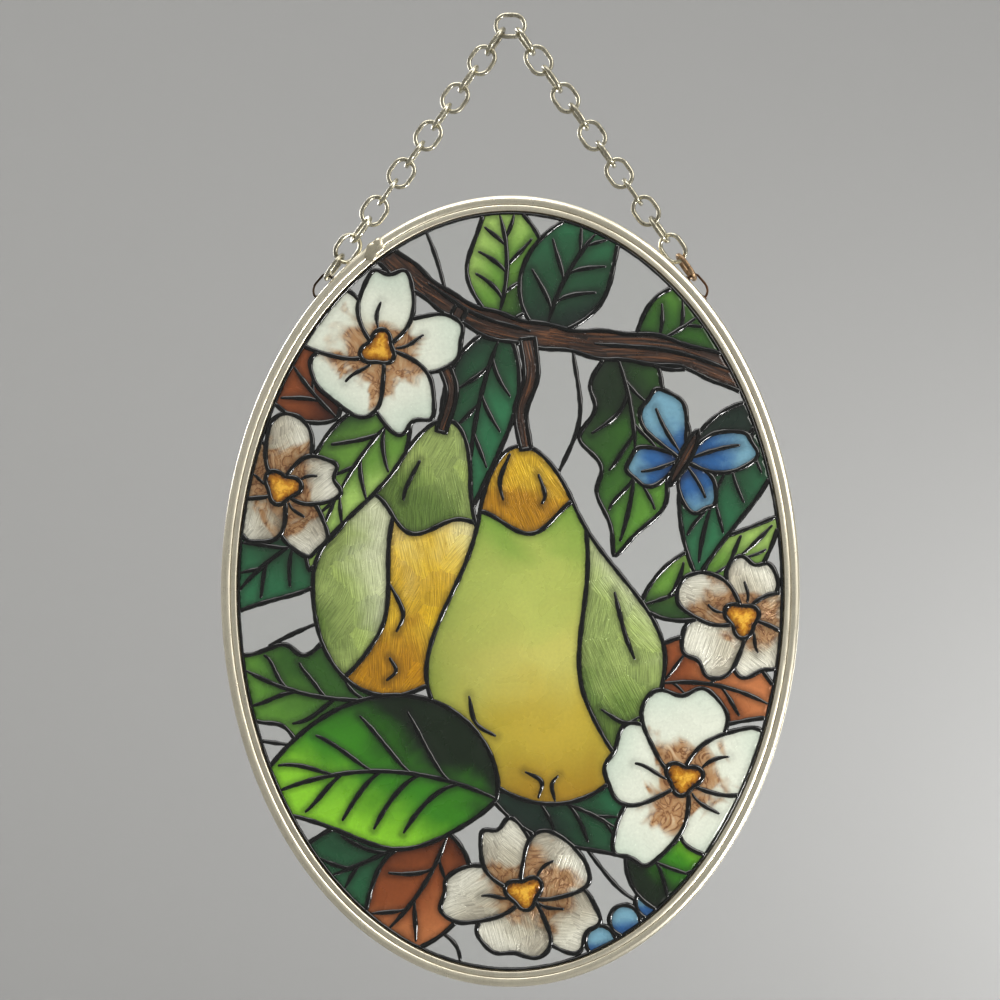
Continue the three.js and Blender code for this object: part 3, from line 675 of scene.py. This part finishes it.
def ridge(points, closed, phase, slim=1.0, wide=LINE_WIDE):
    """A closed half-round ridge on the glass along a line; width and height waver and round off at ends."""
    if closed:
        slope = np.roll(points, -1, 0) - np.roll(points, 1, 0)
    else:
        points = evenly(points, LINE_STEP)
        near = np.array([[0.12], [0.4]])
        head = points[0] + (points[1] - points[0]) * near
        tail = points[-1] + (points[-2] - points[-1]) * near[::-1]
        points = np.vstack([points[:1], head, points[1:-1], tail, points[-1:]])
        slope = np.gradient(points, axis=0)
    left = left_of(slope)
    s = np.concatenate([[0], np.cumsum(np.linalg.norm(np.diff(points, axis=0), axis=1))])
    if closed:
        turns = s / (s[-1] + LINE_STEP) * TAU
        waver = np.sin(turns * round(s[-1] / 9) + phase)
        waver = waver + 0.7 * np.sin(turns * round(s[-1] / 3.7) + 2 * phase)
        full = np.ones(len(s))
    else:
        waver = np.sin(s / 1.45 + phase) + 0.7 * np.sin(s / 0.6 + 2 * phase)
        end = np.minimum(s, s[-1] - s)
        full = np.sqrt(np.clip(1 - (1 - np.clip(end / 0.5, 0.02, 1)) ** 2, 0, 1))
        full = full * (slim + (1 - slim) * np.clip(end / 5, 0, 1))
    half = wide / 2 * (1 + 0.08 * waver) * full
    high = np.minimum(LINE_HIGH * (1 + 0.06 * np.roll(waver, 2)), LINE_HIGHEST) * full**0.7
    crown = np.linspace(0, np.pi, CROWN_POINTS)
    across = np.cos(crown)[None] * half[:, None]
    depth = GLASS_FRONT + LINE_FOOT - (LINE_FOOT + high[:, None]) * np.sin(crown)[None] ** 0.8
    flat = points[:, None] + left[:, None] * across[..., None]
    rows = np.stack([flat[..., 0], depth, flat[..., 1] + OVAL_Z], -1)
    return rows.reshape(-1, 3), tube_faces(len(points), CROWN_POINTS, closed)


ridges, drawn = [], []


def draw(line, covered_by, within, closed, phase, slim=1.0):
    """Squeezes out the stretches of a line that show."""
    for points, round_about in visible_runs(line, covered_by, within, closed):
        ridges.append(ridge(points, round_about, phase, slim))
        drawn.append((points, round_about))


for number, cell in enumerate(cells):
    draw(cell["outline"], number, cell["within"], True, number)
    for rib in cell["ribs"]:
        draw(rib, number, cell["within"] if cell["paint"] in ("gold", "sage") else cell["outline"], False,
             number + 3, 0.6)
for number, line in enumerate(ground_lines):
    draw(line, len(cells), None, False, number, 0.7)
rim = evenly(opening, LINE_STEP, True)
ridges.append(ridge(rim, True, 5, wide=RIM_LINE))
drawn.append((rim, True))
line_points, line_faces = joined(ridges)
raised_lines = new_piece("raised_lines", line_points, line_faces, line_black)
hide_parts("raised_outline")
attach(raised_lines, "root")


# ---- Paint films ----
# Translucent glass paint flooded between the lines: one thin closed film to a cell, drawn up against
# the ridges at its edge. All cells are cut at once from one triangulation of the drawing.

FILM_MESH, FILM_GAP, FILM_THIN, FILM_CREEP, EDGE_TUCK = 1.05, 0.02, 0.14, 0.2, 0.15
STRIP = 5


def line_gap(points, reach=6.0):
    """Distance of each point to the nearest raised line, at most reach, worked out strip by strip."""
    gap = np.full(len(points), reach)
    strip = np.floor(points[:, 0] / STRIP).astype(int)
    for number in np.unique(strip):
        here = np.flatnonzero(strip == number)
        low, high = number * STRIP - reach, (number + 1) * STRIP + reach
        near = line_samples[(line_samples[:, 0] > low) & (line_samples[:, 0] < high)]
        for part in np.array_split(here, len(here) // 500 + 1):
            apart = np.linalg.norm(points[part][:, None] - near[None], axis=2)
            gap[part] = np.minimum(apart.min(1), reach)
    return gap


line_samples = np.concatenate([points for points, _ in drawn])
start, edges = 0, []
for points, closed in drawn:
    ring = np.arange(len(points)) + start
    edges.append(np.stack([ring, np.roll(ring, -1)], 1)[:len(points) if closed else -1])
    start += len(points)
low, high = opening.min(0), opening.max(0)
row, column = np.meshgrid(np.arange(low[1], high[1], FILM_MESH * 0.866),
                          np.arange(low[0], high[0], FILM_MESH), indexing="ij")
column = column + (np.arange(len(column)) % 2 * FILM_MESH / 2)[:, None]
field = np.stack([column.ravel(), row.ravel()], 1)
field = field[inside(field, opening)]
field = field[line_gap(field, 1.5) > 0.5]
seeds = np.concatenate([line_samples, field])
cut = delaunay_2d_cdt([Vector(p) for p in seeds.tolist()], np.concatenate(edges).tolist(), [], 0, 1e-5)
flat, triangles = np.array([list(p) for p in cut[0]]), np.array(cut[2])
centroids = flat[triangles].mean(1)
front_most = np.full(len(triangles), -1)
for number in range(len(cells) - 1, -1, -1):
    covers = inside(centroids, cells[number]["outline"])
    if cells[number]["within"] is not None:
        covers &= inside(centroids, cells[number]["within"])
    front_most[covers] = number
front_most[~inside(centroids, opening)] = -1


def film(number, rise=0.0, lumps=0.0):
    """A cell's closed film: points, faces and values. Its front is thin + creep exp(-(gap/.8)^2) + rise."""
    cell, mine = cells[number], triangles[front_most == number]
    used, mine = np.unique(mine, return_inverse=True)
    mine, places = mine.reshape(-1, 3), flat[used].copy()
    sides = np.concatenate([mine[:, [0, 1]], mine[:, [1, 2]], mine[:, [2, 0]]])
    _, first, times = np.unique(np.sort(sides, 1), axis=0, return_index=True, return_counts=True)
    border = sides[first[times == 1]]
    pull, middle = np.zeros_like(places), places[mine].mean(1)
    for corner in range(3):
        np.add.at(pull, mine[:, corner], middle - places[mine[:, corner]])
    rim_points = np.unique(border)
    length = np.maximum(np.linalg.norm(pull[rim_points], axis=1, keepdims=True), 1e-9)
    places[rim_points] += pull[rim_points] / length * EDGE_TUCK
    gap = line_gap(places)
    along, across, run, side = cell["own"](places)
    thick = FILM_THIN + FILM_CREEP * np.exp(-((gap / 0.8) ** 2))
    thick = thick + 0.02 * np.sin(run * 0.5 + number) * np.sin(side * 0.6)
    swell = ease(0.3, 2.2, gap)
    thick = thick + rise * swell * (1 + lumps * np.sin(run * 2.3 + number) * np.sin(side * 2.7 + 2 * number))
    back = np.full(len(places), GLASS_FRONT - FILM_GAP)
    height = OVAL_Z + places[:, 1]
    front = np.stack([places[:, 0], back - thick, height], 1)
    points = np.concatenate([front, np.stack([places[:, 0], back, height], 1)])
    count = len(places)
    faces = mine.tolist() + (mine[:, ::-1] + count).tolist()
    faces += np.stack([border[:, 1], border[:, 0], border[:, 0] + count, border[:, 1] + count], 1).tolist()
    tone = (0.37 * number + 0.11 * number**2) % 1.0
    values = {"along": along, "across": across, "run": run, "side": side, "edge": gap,
              "tone": np.full(count, tone)}
    return points, faces, {key: np.tile(value, 2) for key, value in values.items()}


def flooded(name, chosen, material, rise=0.0, lumps=0.0):
    """One piece of the films of the chosen cells."""
    films = [film(number, rise, lumps) for number in chosen if np.any(front_most == number)]
    points, faces = joined([(one[0], one[1]) for one in films])
    values = {key: np.concatenate([one[2][key] for one in films]) for key in films[0][2]}
    made = new_piece(name, points, faces, material, **values)
    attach(made, "root")
    return made


def cells_of(motif=None, paint=None):
    """Numbers of the cells of a motif and a paint."""
    return [number for number, cell in enumerate(cells)
            if motif in (None, cell["motif"]) and paint in (None, cell["paint"])]


def graded(tree, value, stops):
    """Colours along a value from 0 to 1, as (place, colour) stops."""
    made = node(tree, "ShaderNodeValToRGB", {"Fac": value})
    made.color_ramp.interpolation = "EASE"
    while len(made.color_ramp.elements) < len(stops):
        made.color_ramp.elements.new(0.5)
    for element, (place, colour) in zip(made.color_ramp.elements, stops):
        element.position, element.color = place, colour
    return made.outputs["Color"]


def glass_paint_group():
    """Flooded paint: darker where it pools by the lines, cloudy, with a few specks and pin bubbles."""
    tree, given, out = new_group(
        "glass_paint", {"Paint": BLANK, "Edge": 0.0, "Pooling": 0.5, "Clouding": 0.3},
        {"Color": BLANK, "Roughness": 0.0, "Height": 0.0})
    where = own_place(tree)
    haze = cloud(tree, where, 75, 5, Distortion=0.6)
    pooled = ranged(tree, given["Edge"], 0.5, 2.6, 1.0, 0.0, interpolation_type="SMOOTHSTEP")
    dim = math(tree, "MULTIPLY", pooled, given["Pooling"])
    level = math(tree, "MULTIPLY_ADD", math(tree, "SUBTRACT", haze, 0.5), given["Clouding"],
                 math(tree, "SUBTRACT", 1.0, dim))
    level = math(tree, "ADD", level, ranged(tree, cloud(tree, where, 1500, 2), 0.7, 0.76, 0.0, 0.22))
    grain = math(tree, "SUBTRACT", cloud(tree, where, 1100, 3), 0.5)
    level = math(tree, "MULTIPLY_ADD", grain, 0.3, level)
    shaded = node(tree, "ShaderNodeVectorMath", {0: given["Paint"], "Scale": level}, operation="SCALE")
    bubble = node(tree, "ShaderNodeTexVoronoi", {"Vector": where, "Scale": 520}).outputs["Distance"]
    pin = math(tree, "LESS_THAN", bubble, 0.08)
    tree.links.new(shaded.outputs[0], out["Color"])
    tree.links.new(ranged(tree, haze, 0.3, 0.7, 0.2, 0.36), out["Roughness"])
    tree.links.new(math(tree, "MULTIPLY_ADD", pin, -0.4, haze), out["Height"])
    return tree


def brush_strokes_group():
    """Pearl paint dragged with a dry brush: patches of fine straight strokes, each patch at its own angle,
    and each patch's share of painted sheen.
    """
    tree, given, out = new_group(
        "brush_strokes", {"Run": 0.0, "Side": 0.0, "Patch": 12.0, "Fan": 1.1, "Fineness": 3.0},
        {"Strokes": 0.0, "Painted Sheen": 0.0})
    flat_place = node(tree, "ShaderNodeCombineXYZ", {"X": given["Run"], "Y": given["Side"]}).outputs[0]
    ragged = node(tree, "ShaderNodeTexNoise", {"Vector": flat_place, "Scale": 0.45, "Detail": 3})
    shift = node(tree, "ShaderNodeVectorMath", {0: ragged.outputs["Color"], "Scale": 3.0}, operation="SCALE")
    moved = node(tree, "ShaderNodeVectorMath", {0: flat_place, 1: shift.outputs[0]}, operation="ADD")
    patches = node(tree, "ShaderNodeTexVoronoi", {
        "Vector": moved.outputs[0], "Scale": math(tree, "DIVIDE", 1.0, given["Patch"])})
    parts = node(tree, "ShaderNodeSeparateColor", {"Color": patches.outputs["Color"]})
    lean = math(tree, "MULTIPLY", math(tree, "SUBTRACT", parts.outputs[0], 0.5), given["Fan"])
    turned = node(tree, "ShaderNodeVectorRotate", {"Vector": flat_place, "Angle": lean},
                  rotation_type="Z_AXIS")
    drawn_out = node(tree, "ShaderNodeMapping", {"Vector": turned.outputs[0], "Scale": (0.05, 1.0, 1.0)})
    strokes = cloud(tree, drawn_out.outputs[0], given["Fineness"], 3, Distortion=0.25)
    tree.links.new(ranged(tree, strokes, 0.26, 0.74, interpolation_type="SMOOTHSTEP"), out["Strokes"])
    # The second channel of each patch's random colour is its share of painted sheen.
    tree.links.new(parts.outputs[1], out["Painted Sheen"])
    return tree


GLASS_PAINT, BRUSH_STROKES = glass_paint_group(), brush_strokes_group()


def paint_material(name, colours, pooling=0.45, clouding=0.35, bump=0.2, strokes=None, **plain):
    """A glossy paint; colours(tree) gives its colour, strokes its share of stroke relief if brushed."""
    plain = {"Coat_Weight": 0.7, "Coat_Roughness": 0.06, "IOR": 1.5, **plain}
    material, tree, shader = new_material(name, **plain)
    group = node(tree, "ShaderNodeGroup", {
        "Paint": colours(tree), "Edge": value_of(tree, "edge"), "Pooling": pooling, "Clouding": clouding},
        node_tree=GLASS_PAINT).outputs
    height = group["Height"]
    if strokes is not None:
        height = math(tree, "MULTIPLY_ADD", brushed(tree).outputs["Strokes"], strokes, height)
    tree.links.new(group["Color"], shader.inputs["Base Color"])
    tree.links.new(group["Roughness"], shader.inputs["Roughness"])
    bumped(tree, shader, height, bump, 0.0003)
    return material


def brushed(tree, patch=12.0, fan=1.1, fineness=3.0):
    """The tree's one brush stroke group, on the piece's own run and side."""
    found = [one for one in tree.nodes if getattr(one, "node_tree", None) == BRUSH_STROKES]
    if found:
        return found[0]
    return node(tree, "ShaderNodeGroup", {
        "Run": value_of(tree, "run"), "Side": value_of(tree, "side"), "Patch": patch, "Fan": fan,
        "Fineness": fineness}, node_tree=BRUSH_STROKES)


def wandering(tree, value, scale, amount, detail=4, swirl=0.8):
    """A value pushed up and down by soft noise, so a blend's border wanders."""
    push = math(tree, "SUBTRACT", cloud(tree, own_place(tree), scale, detail, Distortion=swirl), 0.5)
    return math(tree, "MULTIPLY_ADD", push, amount, value)


# ---- Pears ----
# The front pear's belly is flooded smooth, green at the shoulder and gold at the foot. The necks and
# cheeks are gold and sage pearl paint dragged with a dry brush, with painted sheen on some patches.

def belly_colours(tree):
    """Green shoulder to gold foot, with soft swirls, and greener towards both flanks."""
    up = wandering(tree, value_of(tree, "along"), 30, 0.3)
    tone = graded(tree, up, [(0.0, rgb(158, 122, 24)), (0.2, rgb(186, 164, 54)), (0.42, rgb(196, 192, 98)),
                             (0.62, rgb(176, 188, 92)), (0.85, rgb(120, 158, 58))])
    flank = math(tree, "POWER", math(tree, "ABSOLUTE", value_of(tree, "across")), 2.2, clamp=True)
    flank = math(tree, "MULTIPLY", flank, 0.8, clamp=True)
    return mixed(tree, flank, tone, rgb(92, 128, 36))


def brushed_colours(deep, middle, light, painted_sheen_colour):
    """Deep at the foot to light at the far end, streaked by the strokes; some patches get a painted sheen, a
    lighter colour soft-lit over them.
    """
    def colours(tree):
        group = brushed(tree)
        level = math(tree, "MULTIPLY_ADD", value_of(tree, "across"), -0.25, value_of(tree, "along"))
        tone = graded(tree, wandering(tree, level, 40, 0.8), [(0.1, deep), (0.45, middle), (0.9, light)])
        streak = math(tree, "MULTIPLY_ADD", group.outputs["Strokes"], 0.62, 0.66)
        tone = node(tree, "ShaderNodeVectorMath", {0: tone, "Scale": streak}, operation="SCALE").outputs[0]
        # Painted sheen: a lighter colour soft-lit over some patches, standing in for light flashing off the
        # pearl.
        painted_sheen_share = ranged(tree, group.outputs["Painted Sheen"], 0.35, 1.0, 0.0, 0.6)
        return mixed(tree, painted_sheen_share, tone, painted_sheen_colour, "SOFT_LIGHT")
    return colours


# The last colour of each pearl is its painted sheen.
GOLD_PEARL = rgb(176, 124, 14), rgb(212, 172, 44), rgb(232, 226, 170), rgb(255, 240, 170)
SAGE_PEARL = rgb(92, 118, 52), rgb(150, 170, 96), rgb(206, 212, 176), rgb(240, 246, 214)
PEARL_GLOSS = {"pooling": 0.5, "clouding": 0.35, "bump": 0.35, "strokes": 0.8, "Metallic": 0.3}
belly_paint = paint_material("belly_paint", belly_colours, 0.35, 0.25, 0.12, Transmission_Weight=0.12)
gold_paint = paint_material("gold_pearl_paint", brushed_colours(*GOLD_PEARL), **PEARL_GLOSS)
sage_paint = paint_material("sage_pearl_paint", brushed_colours(*SAGE_PEARL), **PEARL_GLOSS)
flooded("pear_belly", cells_of("pear_front", "belly"), belly_paint, 0.1)
flooded("pear_gold_parts", cells_of(paint="gold"), gold_paint, 0.05)
flooded("pear_sage_parts", cells_of(paint="sage"), sage_paint, 0.05)


# ---- Blossoms ----
# Opal white petals marbled with tan round the heart, others of brushed grey pearl with painted sheen on
# some patches, and small domed lumpy hearts of golden paint.

def petal_marbling(tree, ground):
    """Tan paint with fine brown veins dragged out of the heart, over the petal's own colour."""
    reach = math(tree, "MULTIPLY_ADD", value_of(tree, "tone"), -0.4, value_of(tree, "along"))
    reach = wandering(tree, reach, 75, 0.85, 2, 1.6)
    mask = ranged(tree, reach, 0.16, 0.36, 1.0, 0.0, interpolation_type="SMOOTHSTEP")
    veins = wandering(tree, math(tree, "MULTIPLY_ADD", value_of(tree, "along"), 0.3, 0.35), 120, 1.4, 2, 3.5)
    tan = graded(tree, veins, [(0.05, rgb(176, 146, 108)), (0.4, rgb(158, 118, 78)), (0.5, rgb(112, 72, 42)),
                               (0.58, rgb(170, 132, 92)), (0.95, rgb(200, 176, 142))])
    return mixed(tree, mask, ground, tan)


def opal_colours(tree):
    """Warm white at the foot and cool at the lip, with the marbling."""
    shade = wandering(tree, value_of(tree, "along"), 45, 0.4)
    ground = graded(tree, shade, [(0.0, rgb(190, 188, 166)), (0.5, rgb(210, 215, 200)),
                                  (1.0, rgb(190, 203, 188))])
    return petal_marbling(tree, ground)


# The last colour is the grey pearl's painted sheen.
GREY_PEARL = rgb(136, 128, 110), rgb(180, 174, 156), rgb(214, 212, 196), rgb(250, 250, 240)


def pearl_colours(tree):
    """Brushed grey pearl with the marbling."""
    return petal_marbling(tree, brushed_colours(*GREY_PEARL)(tree))


def heart_colours(tree):
    """Gold with a brown grain, browner by the line."""
    level = wandering(tree, math(tree, "MULTIPLY", value_of(tree, "edge"), 0.22), 800, 1.3, 6)
    return graded(tree, level, [(0.0, rgb(96, 52, 8)), (0.3, rgb(186, 118, 18)), (0.75, rgb(240, 184, 62))])


opal_paint = paint_material("opal_petal_paint", opal_colours, 0.22, 0.15, 0.12)
pearl_paint = paint_material("pearl_petal_paint", pearl_colours, 0.35, 0.3, 0.35, 0.8, Metallic=0.3)
heart_paint = paint_material("golden_heart_paint", heart_colours, 0.5, 0.3, 0.6, Metallic=0.25)
for motif in ("blossom_right", "blossom_top"):
    flooded(motif, cells_of(motif), opal_paint, 0.08)
for motif in ("blossom_low", "blossom_left", "blossom_side"):
    flooded(motif, cells_of(motif), pearl_paint, 0.05)
flooded("blossom_hearts", cells_of(paint="heart"), heart_paint, 0.4, 0.35)


# ---- Leaves ----
# Greens airbrushed from near black at the base to bright at the tip and one half, and three leaves of
# copper paint with a metallic grain.

def leaf_colours(deep, middle, light, half=0.25):
    """Deep at the foot and along the midrib, light towards the tip and over one half."""
    def colours(tree):
        level = math(tree, "MULTIPLY_ADD", value_of(tree, "across"), half, value_of(tree, "along"))
        level = math(tree, "MULTIPLY_ADD", value_of(tree, "tone"), 0.25, level)
        level = wandering(tree, level, 38, 0.7)
        return graded(tree, level, [(0.1, deep), (0.5, middle), (0.95, light)])
    return colours


LEAF_PAINTS = {
    "dark_green": (rgb(14, 32, 24), rgb(24, 66, 40), rgb(34, 98, 62)),
    "mid_green": (rgb(16, 34, 14), rgb(42, 84, 24), rgb(82, 132, 42)),
    "light_green": (rgb(34, 66, 22), rgb(92, 136, 48), rgb(150, 184, 92)),
    "bright": (rgb(8, 26, 6), rgb(48, 118, 14), rgb(128, 192, 40)),
    "rust": (rgb(66, 28, 12), rgb(142, 74, 36), rgb(192, 118, 70)),
}
for paint, tones in LEAF_PAINTS.items():
    colours = leaf_colours(*tones, 0.45 if paint == "bright" else 0.25)
    material = paint_material(f"{paint}_leaf_paint", colours, 0.5, 0.4, 0.15,
                              Metallic=0.3 if paint == "rust" else 0.0)
    for number in cells_of(paint=paint):
        flooded(cells[number]["motif"], [number], material, 0.05)


# ---- Butterfly, berries, branch and stems ----
# Blue wings and berries streaked with pale blue; the branch, stems and the butterfly's body are dark
# brown, streaked lengthwise.

def wing_colours(tree):
    """Deep blue at the body to pale blue at the tip, each cell a little lighter or darker."""
    level = math(tree, "MULTIPLY_ADD", value_of(tree, "tone"), 0.5, value_of(tree, "along"))
    level = wandering(tree, level, 130, 0.6)
    return graded(tree, level, [(0.15, rgb(12, 38, 78)), (0.6, rgb(34, 84, 138)), (1.0, rgb(104, 148, 168))])


def bark_colours(tree):
    """Near black to brown along the strokes."""
    streaks = brushed(tree, 40.0, 0.15, 1.6).outputs["Strokes"]
    return graded(tree, streaks, [(0.1, rgb(22, 13, 8)), (0.6, rgb(58, 34, 20)), (1.0, rgb(104, 66, 40))])


wing_paint = paint_material("blue_paint", wing_colours, 0.4, 0.4, 0.2)
bark_paint = paint_material("bark_paint", bark_colours, 0.4, 0.3, 0.5, 0.8)
flooded("butterfly_wings", cells_of("butterfly"), wing_paint, 0.06)
flooded("berries", cells_of("berries"), wing_paint, 0.3)
for motif in ("branch", "stem_front", "stem_back", "butterfly_body"):
    flooded(motif, cells_of(motif), bark_paint, 0.12, 0.3)


# ---- Wire loops ----
# A D of thin wire soldered to the came's outer edge on each shoulder, in the plane of the pane, for
# the chain's end links. Both wires are painted dark as painted shade, and the right one is coppery as well.

LOOP_WIRE, LOOP_LONG, LOOP_OUT, LOOP_CORNER, LOOP_ANGLE = 0.35, 8.0, 3.4, 1.5, 31.5


def tube(middle, across_a, across_b, radius, sides, closed, fullness=1.0):
    """A tube along points with two unit directions across it at each; fullness under 1 flattens its sides."""
    t = np.linspace(0, TAU, sides, endpoint=False)
    round_a, round_b = (np.sign(w) * np.abs(w) ** fullness for w in (np.cos(t), np.sin(t)))
    ring = across_a[:, None] * round_a[None, :, None] + across_b[:, None] * round_b[None, :, None]
    rows = middle[:, None] + ring * np.broadcast_to(radius, len(middle))[:, None, None]
    return rows.reshape(-1, 3), tube_faces(len(middle), sides, closed)


def wire_loop(mirror):
    """The D's wire with a solder dab at each foot, on the left shoulder or mirrored to the right."""
    half, out = LOOP_LONG / 2 - LOOP_WIRE, LOOP_OUT - LOOP_WIRE
    bend, slack = np.linspace(0, np.pi / 2, 16), 2.2 * LOOP_CORNER
    first = np.stack([-half + slack * (1 - np.cos(bend)), (out - 0.3) * np.sin(bend) + 0.3], 1)
    second = np.stack([half, out]) - LOOP_CORNER + LOOP_CORNER * np.stack([np.sin(bend), np.cos(bend)], 1)
    route = evenly(np.vstack([[-half, -0.15], first, second, [half, -0.15]]), 0.25)
    angle = np.radians(LOOP_ANGLE)
    radius = 1 / np.hypot(np.sin(angle) / OVAL_A, np.cos(angle) / OVAL_B)
    foot = np.array([-radius * np.sin(angle), radius * np.cos(angle)])
    normal = foot / np.array([OVAL_A, OVAL_B]) ** 2
    normal = normal / np.linalg.norm(normal)
    tangent = np.array([normal[1], -normal[0]])

    def set_out(flat_points, depth):
        """Points kept as along and out from the came's edge, put in their place."""
        place = foot + flat_points[:, :1] * tangent + flat_points[:, 1:] * normal
        return np.stack([place[:, 0] * (-1 if mirror else 1), depth, place[:, 1] + OVAL_Z], 1)

    zero = np.zeros(len(route))
    middle = set_out(route, zero)
    across = set_out(route + left_of(np.gradient(route, axis=0)), zero) - middle
    along_y = np.tile([0.0, 1.0, 0.0], (len(route), 1))
    parts = [tube(middle, across, along_y, LOOP_WIRE, 16, False)]
    u, v = np.linspace(0, TAU, 24, endpoint=False)[:, None], np.linspace(0.05, np.pi - 0.05, 13)[None]
    for end in (-half, half):
        wide = 0.75 * (1 + 0.12 * np.sin(3 * u + end))
        beside, out_from = end + wide * np.cos(u) * np.sin(v) * 1.2, 0.1 + 0.55 * np.cos(v)
        dab = np.stack(np.broadcast_arrays(beside, out_from), -1).reshape(-1, 2)
        points = set_out(dab, (wide * np.sin(u) * np.sin(v)).ravel())
        faces = grid_faces(24, 13, True, False).tolist()
        caps = [[k * 13 for k in range(24)], [k * 13 + 12 for k in range(24)]]
        parts.append((points, faces + caps))
    return joined(parts)


# Painted shade: both wires are coloured dark, and the right one also has a coppery tint of its own.
left_wire = plated("dark_wire_painted_shade", rgb(64, 53, 42), rgb(22, 17, 13), 0.9, 0.3, 0.3)
right_wire = plated("coppery_wire_painted_shade", rgb(86, 62, 45), rgb(26, 18, 14), 0.9, 0.28, 0.3)
for name, mirror, metal in (("wire_loop_left", False, left_wire), ("wire_loop_right", True, right_wire)):
    loop_points, loop_faces = wire_loop(mirror)
    loop = new_piece(name + "_wire", loop_points, loop_faces, metal, recess=np.zeros(len(loop_points)))
    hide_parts(name)
    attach(loop, "root")


# ---- Chain ----
# Twenty-seven oval links of round plated wire, butt-welded on one side. They hang from the middle one,
# each about a quarter turn from its neighbours, with a twist that dies away from each loop.

LINK_WIRE, LINK_BEND, LINK_STRAIGHT, TWIST = 0.675, 3.125, 1.05, 30.0
MIDDLE_LINK, LINK_SIDES, LINK_FULLNESS = 14, 20, 0.82
first_low, first_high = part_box("chain_link_15")
last_low, last_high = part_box("chain_link_27")
fall = ((first_low + first_high) - (last_low + last_high)) / 2
RUN_ANGLE = np.arctan2(fall.z, -fall.x)

chain_metal = plated("chain_nickel", rgb(204, 199, 178), rgb(50, 40, 28), 0.7, 0.12, 0.3)
end_metal = plated("tarnished_nickel", rgb(190, 162, 128), rgb(66, 42, 28), 1.1, 0.2, 0.4)

turn = np.linspace(-np.pi / 2, np.pi / 2, 25)
bend_x, bend_z = LINK_BEND * np.cos(turn), LINK_BEND * np.sin(turn)
side_x = np.linspace(LINK_STRAIGHT, -LINK_STRAIGHT, 9)[1:-1]
oval_x = np.concatenate([LINK_STRAIGHT + bend_x, side_x, -LINK_STRAIGHT - bend_x, -side_x])
oval_z = np.concatenate([bend_z, np.full(7, LINK_BEND), -bend_z, np.full(7, -LINK_BEND)])
link_middle = np.stack([oval_x, np.zeros(len(oval_x)), oval_z], 1)
slope = np.roll(link_middle, -1, 0) - np.roll(link_middle, 1, 0)
slope = slope / np.linalg.norm(slope, axis=1, keepdims=True)
outward = np.stack([slope[:, 2], np.zeros(len(slope)), -slope[:, 0]], 1)
weld = np.exp(-(((link_middle[:, 0] - 0.2) / 0.35) ** 2)) * (link_middle[:, 2] > 3)
wear = np.clip(np.abs(link_middle[:, 0]) / (LINK_BEND + LINK_STRAIGHT), 0, 1) ** 3

for number in range(1, 28):
    name = f"chain_link_{number:02d}"
    low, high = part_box(name)
    centre = np.array((low + high) / 2) / MM
    away, side = abs(number - MIDDLE_LINK), np.sign(number - MIDDLE_LINK)
    loops_off = MIDDLE_LINK - away
    roll = np.radians(90.0 * (away % 2))
    if away and loops_off > 1:
        roll += np.radians(TWIST) * np.exp((2 - loops_off) / 3)
    radius = LINK_WIRE * (0.95 + 0.05 * weld - 0.05 * wear * (1 + np.sin(number)) / 2)
    points, faces = tube(link_middle, outward, np.tile([0.0, 1.0, 0.0], (len(slope), 1)), radius,
                         LINK_SIDES, True, LINK_FULLNESS)
    x, y, z = points.T
    y, z = y * np.cos(roll) - z * np.sin(roll), y * np.sin(roll) + z * np.cos(roll)
    pitch = side * RUN_ANGLE
    x, z = x * np.cos(pitch) + z * np.sin(pitch), -x * np.sin(pitch) + z * np.cos(pitch)
    points = np.stack([x, y, z], 1) + centre
    seam = 0.25 * np.exp(-(((weld - 0.5) / 0.3) ** 2)) * (weld > 0.05)
    recess = np.repeat(seam + 0.12 * (1 - wear), LINK_SIDES)
    metal = end_metal if number == 27 else chain_metal
    link = new_piece(f"link_{number:02d}", points, faces, metal, recess=recess)
    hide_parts(name)
    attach(link, "root")
